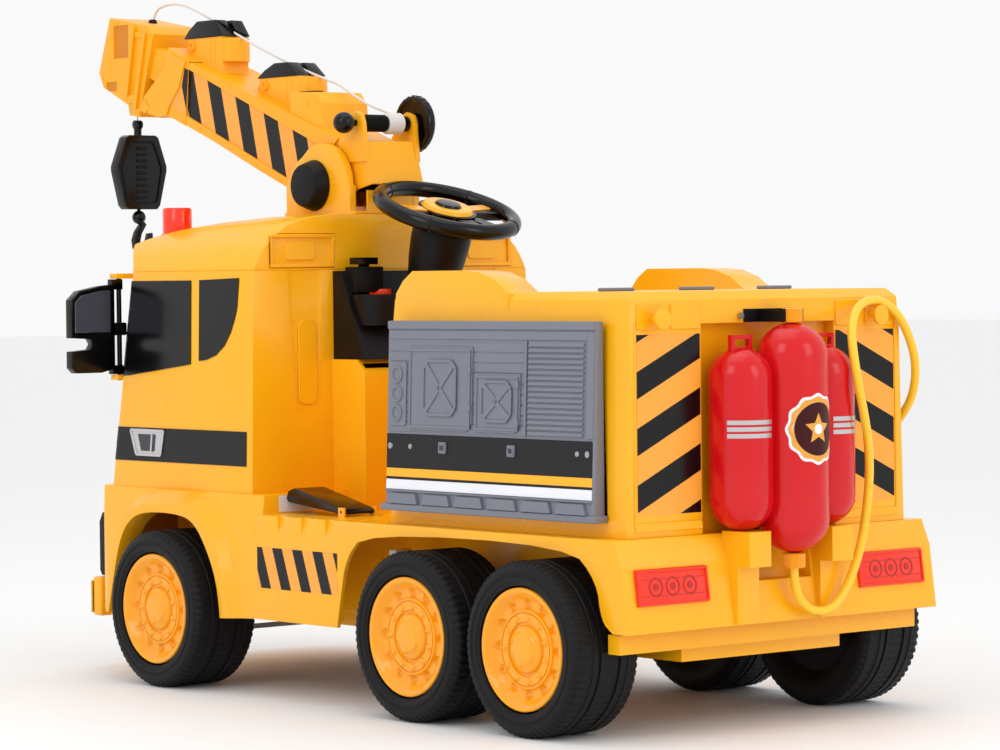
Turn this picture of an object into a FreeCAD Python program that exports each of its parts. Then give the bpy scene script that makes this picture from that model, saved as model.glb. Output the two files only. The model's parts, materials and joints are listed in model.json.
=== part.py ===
import FreeCAD, Part

import math
import os
import re

import Sketcher

# Toy ride-on crane truck. Frame: +X forward, +Y to the driver's left, +Z up, z = 0 at the floor,
# origin below the middle of the truck. All lengths are millimetres.

V = FreeCAD.Vector
X_AXIS = V(1, 0, 0)
Y_AXIS = V(0, 1, 0)
Z_AXIS = V(0, 0, 1)

# Driving dimensions: alias, value, meaning.
DIMENSIONS = [
    ("tyre_radius", 120, "outer radius of a tyre"),
    ("tyre_width", 115, "width of a tyre"),
    ("wheel_face", 328, "distance of a tyre's outer side from the middle plane"),
    ("cap_radius", 84, "outer radius of a yellow wheel cap"),
    ("front_axle", 285, "X of the front wheels"),
    ("middle_axle", -337, "X of the middle wheels"),
    ("rear_axle", -587, "X of the rear wheels"),
    ("axle_radius", 6, "radius of axles, stub axles and kingpins"),
    ("running_gap", 0.05, "radial clearance of a running fit"),
    ("body_half", 292, "half width of the lower body"),
    ("skin", 6, "wall thickness of the moulded shells"),
    ("deck_top", 272, "height of the deck and of the footwell floor"),
    ("lower_cab_top", 300, "height of the seam between lower body and cab"),
    ("lower_cab_rear", 60, "X of the rear end of the lower cab"),
    ("cab_rear", 95, "X of the cab's rear wall"),
    ("cab_front", 547, "X of the cab's front at the seam"),
    ("cab_half", 273, "half width of the cab at the seam"),
    ("roof_seam", 635, "height of the seam between cab and roof"),
    ("roof_half", 266, "half width of the roof at its seam"),
    ("box_rear", -734, "X of the equipment box's rear wall"),
    ("box_front", -227, "X of the equipment box's front wall"),
    ("box_top", 600, "height of the equipment box"),
    ("box_half", 262, "half width of the equipment box at the deck"),
    ("arm_top", 631, "height of the armrests"),
    ("panel_front", -245, "X of the grey side panels' front edge"),
    ("panel_rear", -692, "X of the grey side panels' rear edge"),
    ("panel_bottom", 292.5, "height of the side panels' lower edge"),
    ("panel_top", 561, "height of the side panels' upper edge"),
    ("peg_height", 563, "height of the hose pegs"),
    ("peg_left", 213.6, "Y of the left hose peg"),
    ("peg_right", 197, "distance of the right hose peg from the middle plane"),
    ("bottle_centre_x", -780, "X of the middle bottle"),
    ("bottle_side_x", -760, "X of the outer bottles"),
    ("bottle_pitch", 78, "distance between bottles across the truck"),
    ("bottle_centre_radius", 49, "radius of the middle bottle"),
    ("bottle_side_radius", 43.5, "radius of the outer bottles"),
    ("lift_x", 204, "X of the boom's lift pivot"),
    ("lift_z", 766, "height of the boom's lift pivot"),
    ("lift_pin_radius", 10, "radius of the lift pivot pin"),
    ("winch_x", 117, "X of the winch axis"),
    ("winch_z", 860, "height of the winch axis"),
    ("drum_radius", 12, "radius of the winch drum"),
    ("boom_half", 50, "half width of the boom"),
    ("boom_wall", 4, "wall thickness of the boom"),
    ("hook_x", 790, "X of the hoist rope"),
    ("rope_radius", 2, "radius of the boom rope"),
    ("hoist_rope_radius", 1.2, "radius of the hoist rope"),
    ("hose_radius", 6.25, "radius of the yellow hose"),
    ("wheel_ring_radius", 103, "radius of the steering wheel's rim, to the middle of its tube"),
    ("wheel_tube_radius", 12, "radius of the steering wheel's tube"),
    ("steer_x", -38, "X of the steering wheel's centre"),
    ("steer_z", 723, "height of the steering wheel's centre"),
    ("steer_tilt", 20, "lean of the steering shaft in degrees"),
    ("shaft_radius", 10, "radius of the steering shaft"),
    ("kingpin_offset", 200, "distance of the kingpins from the middle plane"),
    ("steer_arm", 60, "length of the steering arms"),
    ("mirror_x", 462, "X of the mirrors"),
    ("mirror_hinge", 262, "distance of the mirror hinges from the middle plane"),
    ("mirror_outer", 355, "distance of the mirrors' outer edge from the middle plane"),
]
ALIASES = {row[0] for row in DIMENSIONS}

DOC = FreeCAD.newDocument("crane_truck")
SHEET = DOC.addObject("Spreadsheet::Sheet", "Dims")
NODES = []


# ---------------------------------------------------------------- building helpers

def fill_sheet():
    """Write the driving dimensions into the spreadsheet and name their cells."""
    for row, (alias, value, meaning) in enumerate(DIMENSIONS, start=1):
        SHEET.set(f"A{row}", meaning)
        SHEET.set(f"B{row}", str(value))
        SHEET.setAlias(f"B{row}", alias)
    DOC.recompute()


def bound(text):
    """Turn a formula in alias names into a FreeCAD expression on the spreadsheet."""
    def swap(match):
        word = match.group(0)
        return f"Dims.{word}" if word in ALIASES else word
    return re.sub(r"[a-z_]+", swap, text)


def value(size):
    """Number of a size given as a number or as a formula in alias names."""
    if isinstance(size, (int, float)):
        return float(size)
    result = SHEET.evalExpression(bound(size))
    return float(getattr(result, "Value", result))


def drive(item, prop, size):
    """Set a property, and bind it to the spreadsheet where the size is a formula."""
    setattr(item, prop, value(size))
    if isinstance(size, str):
        item.setExpression(prop, bound(size))


def negated(size):
    """The same size with its sign changed."""
    return f"-({size})" if isinstance(size, str) else -size


def origin_plane(body, role):
    return next(f for f in body.Origin.OriginFeatures if f.Role == role)


def new_body(name):
    body = DOC.addObject("PartDesign::Body", name)
    body.Label = name
    return body


def polygon_sketch(body, plane, points, offset=0):
    """Closed outline of straight lines, with every corner dimensioned from the origin."""
    sketch = body.newObject("Sketcher::SketchObject", "outline")
    sketch.AttachmentSupport = [(origin_plane(body, plane), "")]
    sketch.MapMode = "FlatFace"
    sketch.AttachmentOffset = FreeCAD.Placement(V(0, 0, value(offset)), FreeCAD.Rotation())
    corners = [V(value(p[0]), value(p[1]), 0) for p in points]
    count = len(corners)
    for index in range(count):
        line = Part.LineSegment(corners[index], corners[(index + 1) % count])
        sketch.addGeometry(line, False)
    for index in range(count):
        sketch.addConstraint(Sketcher.Constraint("Coincident", index, 2, (index + 1) % count, 1))
    for index, point in enumerate(points):
        for kind, size in (("DistanceX", point[0]), ("DistanceY", point[1])):
            datum = sketch.addConstraint(Sketcher.Constraint(kind, -1, 1, index, 1, value(size)))
            if isinstance(size, str):
                sketch.setExpression(f"Constraints[{datum}]", bound(size))
    return sketch


def add_pad(body, plane, points, width, offset=0, middle=True):
    """Pad an outline. With middle=True the width is shared on both sides of the plane."""
    sketch = polygon_sketch(body, plane, points, offset)
    pad = body.newObject("PartDesign::Pad", "pad")
    pad.Profile = sketch
    pad.Midplane = middle
    drive(pad, "Length", width)
    DOC.recompute()
    return pad


def add_pocket(body, plane, points, width, offset=0, middle=True):
    """Pocket an outline, and make sure that it removed material."""
    before = body.Shape.Volume
    sketch = polygon_sketch(body, plane, points, offset)
    pocket = body.newObject("PartDesign::Pocket", "pocket")
    pocket.Profile = sketch
    pocket.Midplane = middle
    drive(pocket, "Length", width)
    DOC.recompute()
    if body.Shape.Volume > before - 1:
        pocket.Reversed = True
        DOC.recompute()
    if body.Shape.Volume > before - 1:
        raise RuntimeError(f"a pocket in {body.Name} removes nothing")
    return pocket


def padded(name, plane, points, width, offset=0, middle=True):
    body = new_body(name)
    add_pad(body, plane, points, width, offset, middle)
    return body


def turned(name, points, plane="XZ_Plane", axis="V_Axis"):
    """Body of revolution of an outline about one of its sketch's axes."""
    body = new_body(name)
    sketch = polygon_sketch(body, plane, points)
    turn = body.newObject("PartDesign::Revolution", "turn")
    turn.Profile = sketch
    turn.ReferenceAxis = (sketch, [axis])
    turn.Angle = 360
    DOC.recompute()
    return body


def edges_where(shape, test):
    return [f"Edge{i}" for i, edge in enumerate(shape.Edges, start=1) if test(edge)]


def round_edges(body, radius, test):
    """Fillet the edges of a body's tip that pass the test."""
    names = edges_where(body.Tip.Shape, test)
    if not names:
        raise RuntimeError(f"no edge to round in {body.Name}")
    fillet = body.newObject("PartDesign::Fillet", "rounding")
    fillet.Base = (body.Tip, names)
    fillet.Radius = radius
    body.Tip = fillet
    DOC.recompute()
    return fillet


def is_along(edge, axis):
    if not isinstance(edge.Curve, Part.Line):
        return False
    return abs(abs(edge.Curve.Direction.dot(axis)) - 1) < 1e-4


def primitive(kind, name, sizes, at=(0, 0, 0), axis=Z_AXIS):
    """Part primitive with bound sizes, placed at a point with its own Z along an axis."""
    item = DOC.addObject(kind, name)
    item.Label = name
    for prop, size in sizes.items():
        drive(item, prop, size)
    turn = FreeCAD.Rotation(Z_AXIS, axis)
    item.Placement = FreeCAD.Placement(V(value(at[0]), value(at[1]), value(at[2])), turn)
    for coordinate, size in zip("xyz", at):
        if isinstance(size, str):
            item.setExpression(f"Placement.Base.{coordinate}", bound(size))
    return item


def cylinder(name, radius, length, at, axis=Z_AXIS):
    return primitive("Part::Cylinder", name, {"Radius": radius, "Height": length}, at, axis)


def cone(name, radius_a, radius_b, length, at, axis=Z_AXIS):
    sizes = {"Radius1": radius_a, "Radius2": radius_b, "Height": length}
    return primitive("Part::Cone", name, sizes, at, axis)


def box(name, low, high):
    """Box between two corners."""
    sizes = {}
    for prop, a, b in zip(("Length", "Width", "Height"), low, high):
        if isinstance(a, str) or isinstance(b, str):
            sizes[prop] = f"({b}) - ({a})"
        else:
            sizes[prop] = b - a
    return primitive("Part::Box", name, sizes, low)


def joined(name, pieces):
    item = DOC.addObject("Part::MultiFuse", name)
    item.Label = name
    item.Shapes = pieces
    return item


def cut(name, base, tools):
    tool = tools[0] if len(tools) == 1 else joined(name + "_tools", tools)
    item = DOC.addObject("Part::Cut", name)
    item.Label = name
    item.Base = base
    item.Tool = tool
    return item


def common(name, first, second):
    item = DOC.addObject("Part::Common", name)
    item.Label = name
    item.Base = first
    item.Tool = second
    return item


def mirrored(name, source):
    """Mirror image across the truck's middle plane."""
    item = DOC.addObject("Part::Mirroring", name)
    item.Label = name
    item.Source = source
    item.Base = V(0, 0, 0)
    item.Normal = Y_AXIS
    return item


def group(name, pieces):
    """Separate solids that share one node."""
    item = DOC.addObject("Part::Compound", name)
    item.Label = name
    item.Links = pieces
    return item


def node(item):
    """Mark an object as a sub-part that gets a file of its own."""
    NODES.append(item)
    return item


def shape_feature(name, shape):
    item = DOC.addObject("Part::Feature", name)
    item.Label = name
    item.Shape = shape
    return item


# ---------------------------------------------------------------- body and cab


def softened(points, rounds=2):
    """Outline with its corners cut again and again, so that they run as curves."""
    for _ in range(rounds):
        row = [points[0]]
        for start, end in zip(points, points[1:]):
            row.append((start[0] * 0.75 + end[0] * 0.25, start[1] * 0.75 + end[1] * 0.25))
            row.append((start[0] * 0.25 + end[0] * 0.75, start[1] * 0.25 + end[1] * 0.75))
        points = row + [points[-1]]
    return [(round(x, 3), round(y, 3)) for x, y in points]


REAR_ARCH = softened([(-737, 149), (-714, 165), (-706, 217), (-651, 262), (-204, 258),
                      (-158, 219), (-145, 161), (-136, 117)])
PEDAL_PIVOT = (-83, 279.5)
ARCH_CORNERS = [(139, 114), (140, 130), (149, 174), (170, 214), (202, 254),
                (243, 266), (335, 266), (378, 252), (406, 218), (425, 154), (438, 104)]
BAND_BASE = [(70, 116), (80, 150), (100, 208), (128, 258), (168, 296),
             (236, 312), (346, 312), (410, 292), (446, 240), (459, 160), (462, 104)]
BAND_CREST = [(118, 115), (122, 136), (132, 182), (155, 226), (190, 266),
              (240, 280), (339, 280), (388, 264), (418, 226), (437, 158), (446, 104)]
FRONT_ARCH = softened(ARCH_CORNERS)


def arch_band(side):
    """Raised band round a front wheel arch: broad at its foot, narrower at its crest."""
    inner = softened(ARCH_CORNERS)
    foot = inner + list(reversed(softened(BAND_BASE)))
    crest = inner + list(reversed(softened(BAND_CREST)))
    return loft_between("arch_band", foot, -270 * side, crest, -305 * side, "XZ_Plane")


def lower_shell():
    """Open shell of the lower body, drawn in to meet the cab above it."""
    outline = [(-767, 149)] + REAR_ARCH + [("lower_cab_rear", 117)] + FRONT_ARCH
    outline += [(540, 104), (551, 200), ("cab_front", "lower_cab_top")]
    outline += [("lower_cab_rear", "lower_cab_top"), ("lower_cab_rear", "deck_top")]
    outline += [(-740, "deck_top"), (-755, 237)]
    shell = padded("lower_shell", "XZ_Plane", outline, "2 * body_half")
    inner = "body_half - skin"
    nose = [(470, 268), (500, 240), (520, 205), ("cab_front - 14", 150)]
    left = [("lower_cab_rear + skin", inner), ("lower_cab_rear + skin", 268)] + nose
    right = [(x, negated(y)) for x, y in reversed(left)]
    add_pocket(shell, "XY_Plane", [(-716, negated(inner)), (-716, inner)] + left + right,
               "deck_top - skin", middle=False)
    add_pocket(shell, "XY_Plane", left[1:] + right[:-1], "lower_cab_top - skin", middle=False)
    trims = []
    for side in (-1, 1):
        corner = [(455, 292.6), (482, 282), (506, 260), (530, 222), (543, 150), (552, 70),
                  (600, 70), (600, 330), (455, 330)]
        trims.append(padded("nose_corner", "XY_Plane", [(x, side * y) for x, y in corner], 230,
                            offset=90, middle=False))
        shoulder = [(292.6, 212), (292.6, 301), (276.5, 301), (280.5, 262)]
        trims.append(padded("shoulder", "YZ_Plane", [(side * y, z) for y, z in shoulder], 500.2,
                            offset=59.8, middle=False))
    return cut("lower_shell_trimmed", shell, trims)


def lower_body():
    """Moulded lower body: deck, fenders with the wheel arches, skirts and the lower cab."""
    details = [box("floor_panel", (-212, -168, 271), (-12, 168, 273.5))]
    for side in (-1, 1):
        low, high = sorted((side * 58, side * 98))
        details.append(box("bottle_stand", (-796, low, 228), (-742, high, 275.6)))
        details.append(box("stand_post", (-772, low, 150), (-742, high, 230)))
        for y in (180, 239):
            low, high = sorted((side * y, side * (y + 3.4)))
            details.append(box("pedal_lug", (-90, low, 270), (-76, high, 286)))
    body = joined("body_with_details", [lower_shell(), arch_band(1), arch_band(-1)] + details)
    tools = [cylinder("shaft_way_deck", 16, 30, (117, 0, 285)),
             box("seam_clear", (60, -320, "lower_cab_top"), (470, 320, 330)),
             box("middle_bottle_room", (-800, -53, 206), (-727, 53, 280)),
             cylinder("pedal_lug_bore", 2.05, 600, (PEDAL_PIVOT[0], -300, PEDAL_PIVOT[1]),
                      Y_AXIS)]
    for x in (-128, -70, -12):
        for side in (-1, 1):
            edge = side * value("body_half")
            wedge = [(edge + side, 274), (edge + side, 250), (edge - side, 250),
                     (edge - 8 * side, 274)]
            tools.append(padded("skirt_notch", "YZ_Plane", wedge, 18, offset=x, middle=False))
    for offset in (-271.2, 141.8):
        recess = [(-780, 184.8), (-757.1, 184.8), (-750.7, 233.2), (-780, 233.2)]
        tools.append(padded("lamp_recess", "XZ_Plane", recess, 129.4, offset, middle=False))
    node(cut("lower_body", body, tools))


CAB_AT_SEAM = [(465, 275), (500, 245), (527, 200), (543, 105), (548, 0)]
CAB_AT_ROOF = [(415, 266), (448, 243), (474, 207), (490, 110), (497, 0)]


def cab_plan(half, corners, inset=0):
    """Plan outline of the cab: square at the rear, a bowed front with rounded-off corners."""
    left = [("cab_rear", f"{half} - {inset}")]
    left += [(x - inset, y - inset if y else 0) for x, y in corners]
    right = [(x, negated(y)) for x, y in reversed(left[:-1])]
    return left + right


def loft_between(name, low_points, low, high_points, high, plane="XY_Plane"):
    """Straight-sided loft between two outlines with as many corners as each other."""
    body = new_body(name)
    low = polygon_sketch(body, plane, low_points, low)
    high = polygon_sketch(body, plane, high_points, high)
    loft = body.newObject("PartDesign::AdditiveLoft", "loft")
    loft.Profile = low
    loft.Sections = [high]
    loft.Ruled = True
    DOC.recompute()
    return body


def cab_shell():
    """Upper cab with the tunnel behind it, open below, and lugs that hold the mirrors."""
    outer = loft_between("cab_outer", cab_plan("cab_half", CAB_AT_SEAM), "lower_cab_top",
                         cab_plan("roof_half", CAB_AT_ROOF), "roof_seam")
    inner = loft_between("cab_inner", cab_plan("cab_half", CAB_AT_SEAM, 6), "lower_cab_top - 5",
                         cab_plan("roof_half", CAB_AT_ROOF, 6), "roof_seam + 5")
    inner_rear = box("cab_rear_wall", ("cab_rear", -300, 280), ("cab_rear + skin", 300, 640))
    room = cut("cab_room", inner, [inner_rear])
    tunnel_side = [(96, 300.1), (59.8, 300.1), (59.8, 272.1), (15, 272.1), (15, 480),
                   (34, 498.8), (96, 498.8)]
    tunnel = padded("tunnel_outer", "XZ_Plane", tunnel_side, 240)
    tunnel_room = box("tunnel_room", (21, -114, 250), (140, 114, 492.8))
    lugs = []
    for side in (-1, 1):
        for low in (466, 625):
            y_low = 212 if side > 0 else "-mirror_hinge - 10"
            y_high = "mirror_hinge + 10" if side > 0 else -212
            lugs.append(box("mirror_lug", ("mirror_x - 10", y_low, low),
                            ("mirror_x + 10", y_high, low + 8)))
    channels = []
    for side in (-1, 1):
        points = [(142 * side, 424), (189 * side, 424), (203 * side, 640), (142 * side, 640)]
        channels.append(padded("rear_channel", "YZ_Plane", points, 3, "cab_rear - 1",
                               middle=False))
    solid = joined("cab_solid", [outer, tunnel] + lugs)
    shaft_way = cylinder("shaft_way_tunnel", "shaft_radius + 4", 330, shaft_point(470),
                         steer_axis())
    pins = [cylinder("mirror_bore", "4 + running_gap", 190, ("mirror_x", side, 455))
            for side in ("mirror_hinge", "-mirror_hinge")]
    node(cut("cab_shell", solid, [room, tunnel_room, shaft_way] + channels + pins))


def cab_roof():
    """Roof cover: crowned, lower at the front, with two recesses in its rear face."""
    side = [("cab_rear", "roof_seam"), (497, "roof_seam"), (488, 655), (468, 674), (430, 687),
            (380, 698), (285, 710), (205, 717), ("cab_rear", 720)]
    lengthwise = padded("roof_side", "XZ_Plane", side, "2 * roof_half")
    left = [("roof_half", 634), (264, 640), (256, 655), (247, 668), (235, 680), (205, 702),
            (180, 711), (150, 717), (90, 721), (0, 722)]
    right = [(negated(y), z) for y, z in reversed(left[:-1])]
    across = padded("roof_cross", "YZ_Plane", left + right, 600, offset=300)
    plan = padded("roof_plan", "XY_Plane", cab_plan("roof_half", CAB_AT_ROOF), 200, 680)
    outer = common("roof_outer", common("roof_section", lengthwise, across), plan)
    inner_side = [(101, 610), (488, 610), (480, 650), (462, 666), (426, 680), (376, 691),
                  (285, 703), (205, 710), (101, 713)]
    inner_long = padded("roof_room_side", "XZ_Plane", inner_side, "2 * roof_half - 2 * skin")
    inner_cross = [(-258, 600), (-258, 640), (-250, 652), (-229, 675), (-200, 696),
                   (-148, 710), (-88, 714), (88, 714), (148, 710), (200, 696), (229, 675),
                   (250, 652), (258, 640), (258, 600)]
    inner_across = padded("roof_room_cross", "YZ_Plane", inner_cross, 600, offset=300)
    inner_plan = padded("roof_room_plan", "XY_Plane", cab_plan("roof_half", CAB_AT_ROOF, 7),
                        240, 680)
    room = common("roof_room", common("roof_room_section", inner_long, inner_across), inner_plan)
    recesses = [box("roof_recess", (90, low, 638), (98, high, 690))
                for low, high in ((113, 236), (-236, -113))]
    node(cut("cab_roof", outer, [room] + recesses))


def front_trim():
    """Bumper in front of the cab, its bright strip, and the black grille insert."""
    half = [(574, 244), (583, 236), (588, 205), (592, 150), (595, 80), (596, 0)]
    left = [(552.2, 244)] + half
    bow = left + [(x, -y) for x, y in reversed(left[:-1])]
    node(padded("front_bumper", "XY_Plane", bow, 62, offset=86, middle=False))
    outer = [(574.4, 248), (586, 240), (592.5, 206), (596.5, 150), (599.5, 80), (600.5, 0)]
    inner = [(574.4, 244.4), (583.4, 236.3), (588.4, 205), (592.4, 150), (595.4, 80), (596.4, 0)]
    left = outer + [(x, -y) for x, y in reversed(outer[:-1])]
    right = [(x, -y) for x, y in inner[:-1]] + list(reversed(inner))
    node(padded("bumper_trim", "XY_Plane", left + right, 52, offset=90, middle=False))
    side = [(546.5, 150), (570, 150), (575, 158), (575, 236), (566, 251), (550, 251),
            (552.2, 200)]
    grille = padded("front_grille", "XZ_Plane", side, 460)
    for height in (164, 182, 200, 218, 236):
        slot = [(566, height - 5), (590, height - 5), (590, height + 5), (566, height + 5)]
        add_pocket(grille, "XZ_Plane", slot, 300)
    node(grille)


def beacons():
    """Two round warning lamps near the front corners of the roof."""
    lamps = []
    for side in (-1, 1):
        lamp = turned("beacon", [(0, 0), (26, 0), (26, 21), (23, 23), (23, 60), (21, 63), (0, 63)])
        lamp.Placement = FreeCAD.Placement(V(402, 190 * side, 672), FreeCAD.Rotation())
        lamps.append(lamp)
    both = group("beacon_pair", lamps)
    node(cut("beacons", both, [DOC.getObject("roof_outer")]))


def dash_console():
    """Black dash on the tunnel: wedge, raised cup for the switch and the steering column."""
    wedge = padded("dash_wedge", "XZ_Plane",
                   [(16, 499.2), (75, 633), (94.6, 633), (94.6, 499.2)], 236)
    cups = [cone("dash_cup", 33, 40, 47, (35, side * 77, 550)) for side in (-1, 1)]
    mount = box("lever_mount", (50, 55, 600), (76, 108, 639))
    column = cone("dash_column", 36, 27, 172, shaft_point(199), steer_axis())
    solid = joined("dash_solid", [wedge, mount, column] + cups)
    bore = cylinder("dash_bore", "shaft_radius + 2", 330, shaft_point(300), steer_axis())
    socket = box("switch_socket", (21, 61, 586), (49, 85, 620))
    slot = box("lever_slot", (56, 70, 612), (72, 93, 650))
    node(cut("dash_console", solid, [bore, socket, slot]))


# ---------------------------------------------------------------- equipment box

def seat_box():
    """Rear box that carries the seat, with armrests, hose pegs and the recess for the bottles."""
    side = [("box_rear", "deck_top + 0.2"), ("box_rear", 588), ("box_rear + 12", "box_top"),
            ("box_front", "box_top"), ("box_front", "deck_top + 0.2")]
    lengthwise = padded("box_side", "XZ_Plane", side, "2 * box_half")
    cross = [("-box_half", 270), (-255, 545), (-250, 590), (-240, 600.5), (240, 600.5),
             (250, 590), (255, 545), ("box_half", 270)]
    across = padded("box_cross", "YZ_Plane", cross, 700, offset=-450)
    pieces = [common("box_outer", lengthwise, across)]
    arm = [("box_front - 1", 560), (-232, 599), (-248, 617), (-270, "arm_top"),
           (-388, "arm_top"), (-420, "arm_top - 3"), (-452, 618), (-482, 599), (-482, 560)]
    for side_name, offset in (("left", -252), ("right", 196)):
        pieces.append(padded(f"arm_{side_name}", "XZ_Plane", arm, 56, offset, middle=False))
    for side in (-1, 1):
        y = "peg_left" if side > 0 else "-peg_right"
        pieces.append(cylinder("peg_neck", 4.5, 20, ("box_rear - 18", y, "peg_height"), X_AXIS))
        pieces.append(cylinder("peg_head", 13.5, 6, ("box_rear - 23.5", y, "peg_height"), X_AXIS))
    solid = joined("box_solid", pieces)
    room = box("box_room", ("box_rear + 27", -244, 250), ("box_front - skin", 244, 576))
    recess = box("bottle_recess", ("box_rear - 5", -126, 260), ("box_rear + 20", 126, 556))
    dip = box("seat_dip", (-445, -194, 585), (-220, 194, 640))
    node(cut("seat_box", solid, [room, recess, dip]))


def side_panels():
    """Grey equipment panels with a foot flange, one on each side of the box."""
    cross = [(262.6, "panel_bottom"), (286, "panel_bottom"), (276, "panel_top"),
             (262.6, "panel_top")]
    length = "panel_front - panel_rear"
    panel = padded("panel_plate", "YZ_Plane", cross, length, offset="panel_rear", middle=False)
    flange = box("panel_flange", ("panel_rear - 6", 262.6, "panel_bottom"),
                 ("panel_front + 8", 290, "panel_bottom + 10"))
    back = padded("panel_back", "YZ_Plane", [(255, 297), (281, 297), (271.5, 557), (255, 557)],
                  f"{length} - 10", offset="panel_rear + 5", middle=False)
    left = cut("side_panel_left", joined("panel_solid", [panel, flange]), [back])
    node(left)
    image = mirrored("panel_image", left)
    end = V(*HOSE[-1])
    way = (end - V(*HOSE[-2])).normalize()
    middle = end + way * 13
    clip = box("clip_block", (middle.x - 8, -317, middle.z - 16),
               (middle.x + 8, -279.2, middle.z + 4))
    seat = cylinder("clip_seat", 9.1, 60, tuple(middle - way * 30), way)
    node(cut("side_panel_right", joined("panel_with_clip", [image, clip]), [seat]))


def tail_lights():
    """Two flat red lamps on the sloping rear of the lower body."""
    slope = [(-765.2, 185), (-757.3, 185), (-750.9, 233), (-758.8, 233)]
    lamps = [padded("tail_light", "XZ_Plane", slope, 129, offset, middle=False)
             for offset in (-271, 142)]
    node(group("tail_lights", lamps))


def bottle_outline(radius, low, high, neck):
    """Half outline of a bottle with domed ends: an ellipse quadrant at each end."""
    dome = radius * 0.92
    steps = [math.radians(angle) for angle in (0, 12, 24, 36, 48, 60, 70, 79)]
    lower = [(radius * math.cos(a), low + dome - dome * math.sin(a)) for a in reversed(steps)]
    upper = [(radius * math.cos(a), high - dome + dome * math.sin(a)) for a in steps]
    return [(0, low)] + [(neck, low)] + lower + upper + [(neck, high), (0, high)]


def extinguishers():
    """Three bottles moulded as one piece, with the handles on the outer two."""
    pieces = []
    middle = turned("bottle_middle", bottle_outline(49, 243, 555, 8))
    middle.Placement = FreeCAD.Placement(V(value("bottle_centre_x"), 0, 0), FreeCAD.Rotation())
    pieces.append(middle)
    for side in (-1, 1):
        outer = turned("bottle_outer", bottle_outline(43.5, 275.8, 523, 8))
        place = V(value("bottle_side_x"), side * value("bottle_pitch"), 0)
        outer.Placement = FreeCAD.Placement(place, FreeCAD.Rotation())
        pieces.append(outer)
        y = side * value("bottle_pitch")
        frame = box("handle_frame", ("bottle_side_x - 4", y - 19, 515),
                    ("bottle_side_x + 4", y + 19, 540))
        hole = box("handle_hole", ("bottle_side_x - 9", y - 13, 524),
                   ("bottle_side_x + 9", y + 13, 534))
        pieces.append(cut("bottle_handle", frame, [hole]))
    node(joined("extinguishers", pieces))
    caps = [cylinder("neck_cap", 15, 20, ("bottle_centre_x", 0, 555.2)),
            cylinder("foot_cap", 16, 21, ("bottle_centre_x", 0, 221.8))]
    node(group("extinguisher_caps", caps))
    arms = box("strap_arms", ("bottle_centre_x - 4", -18, 556.5), ("box_rear", 18, 574.5))
    arm_room = box("strap_room", ("bottle_centre_x - 10", -15.3, 550), (-700, 15.3, 580))
    ears = [box("strap_ear", ("box_rear - 2.2", low, 556.5), ("box_rear", high, 574.5))
            for low, high in ((17, 47), (-47, -17))]
    tie = box("strap_tie", ("box_rear - 2.2", -18, 556.5), ("box_rear", 18, 574.5))
    strap = cut("strap_band", arms, [arm_room])
    node(joined("extinguisher_strap", [strap, tie] + ears))


# ---------------------------------------------------------------- chassis and drive

def chassis_frame():
    """Hidden tub with the rear crossmember, the bumper bracket and the front axle beam."""
    rail = [(-715.7, 100), (470, 100), (470, 265.9), (-715.7, 265.9)]
    tub = padded("tub", "XZ_Plane", rail, 300)
    room = [(-709.7, -144), (464, -144), (464, 144), (-709.7, 144)]
    add_pocket(tub, "XY_Plane", room, 259, middle=False)
    rear_member = box("rear_member", (-737, -279, 120), (-713, 279, 146))
    bracket = box("bumper_bracket", (440, -225, 86), (552.2, 225, 103.8))
    beam = box("front_beam", ("front_axle - 15", -191, 99.8), ("front_axle + 15", 191, 118.8))
    tie = box("rear_tie", (-737, -140, 120), (-700, 140, 146))
    parts = [tub, rear_member, tie, bracket, beam]
    bores = []
    for side in (-1, 1):
        y = f"{side} * kingpin_offset"
        parts.append(cylinder("kingpin_eye", 11, 40, ("front_axle", y, 100)))
        bores.append(cylinder("kingpin_bore", "axle_radius + running_gap", 70,
                              ("front_axle", y, 80)))
    for x in ("middle_axle", "rear_axle"):
        bores.append(cylinder("axle_bore", "axle_radius + running_gap", 400,
                              (x, -200, "tyre_radius"), Y_AXIS))
    shaft_way = cylinder("shaft_way_tub", "shaft_radius + 4", 90, shaft_point(540), steer_axis())
    node(cut("chassis_frame", joined("frame_solid", parts), bores + [shaft_way]))


def axles():
    """Steel rods of the four rear wheels with a nut on each end."""
    rods = []
    nuts = []
    reach = "wheel_face - tyre_width + 74"
    for x in ("middle_axle", "rear_axle"):
        rods.append(cylinder("axle_rod", "axle_radius", f"2 * ({reach})",
                             (x, negated(reach), "tyre_radius"), Y_AXIS))
        for side in (-1, 1):
            start = f"wheel_face - tyre_width + {60.6 if side > 0 else 70.6}"
            nuts.append(hex_nut(x, start if side > 0 else negated(start)))
    node(group("rear_axles", rods))
    node(cut("axle_nuts", group("axle_nut_blanks", nuts), rods))


def hex_nut(x, y):
    nut = DOC.addObject("Part::Prism", "axle_nut")
    nut.Polygon = 6
    nut.Circumradius = 12
    nut.Height = 10
    turn = FreeCAD.Rotation(Z_AXIS, Y_AXIS)
    nut.Placement = FreeCAD.Placement(V(value(x), value(y), value("tyre_radius")), turn)
    return nut


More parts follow.
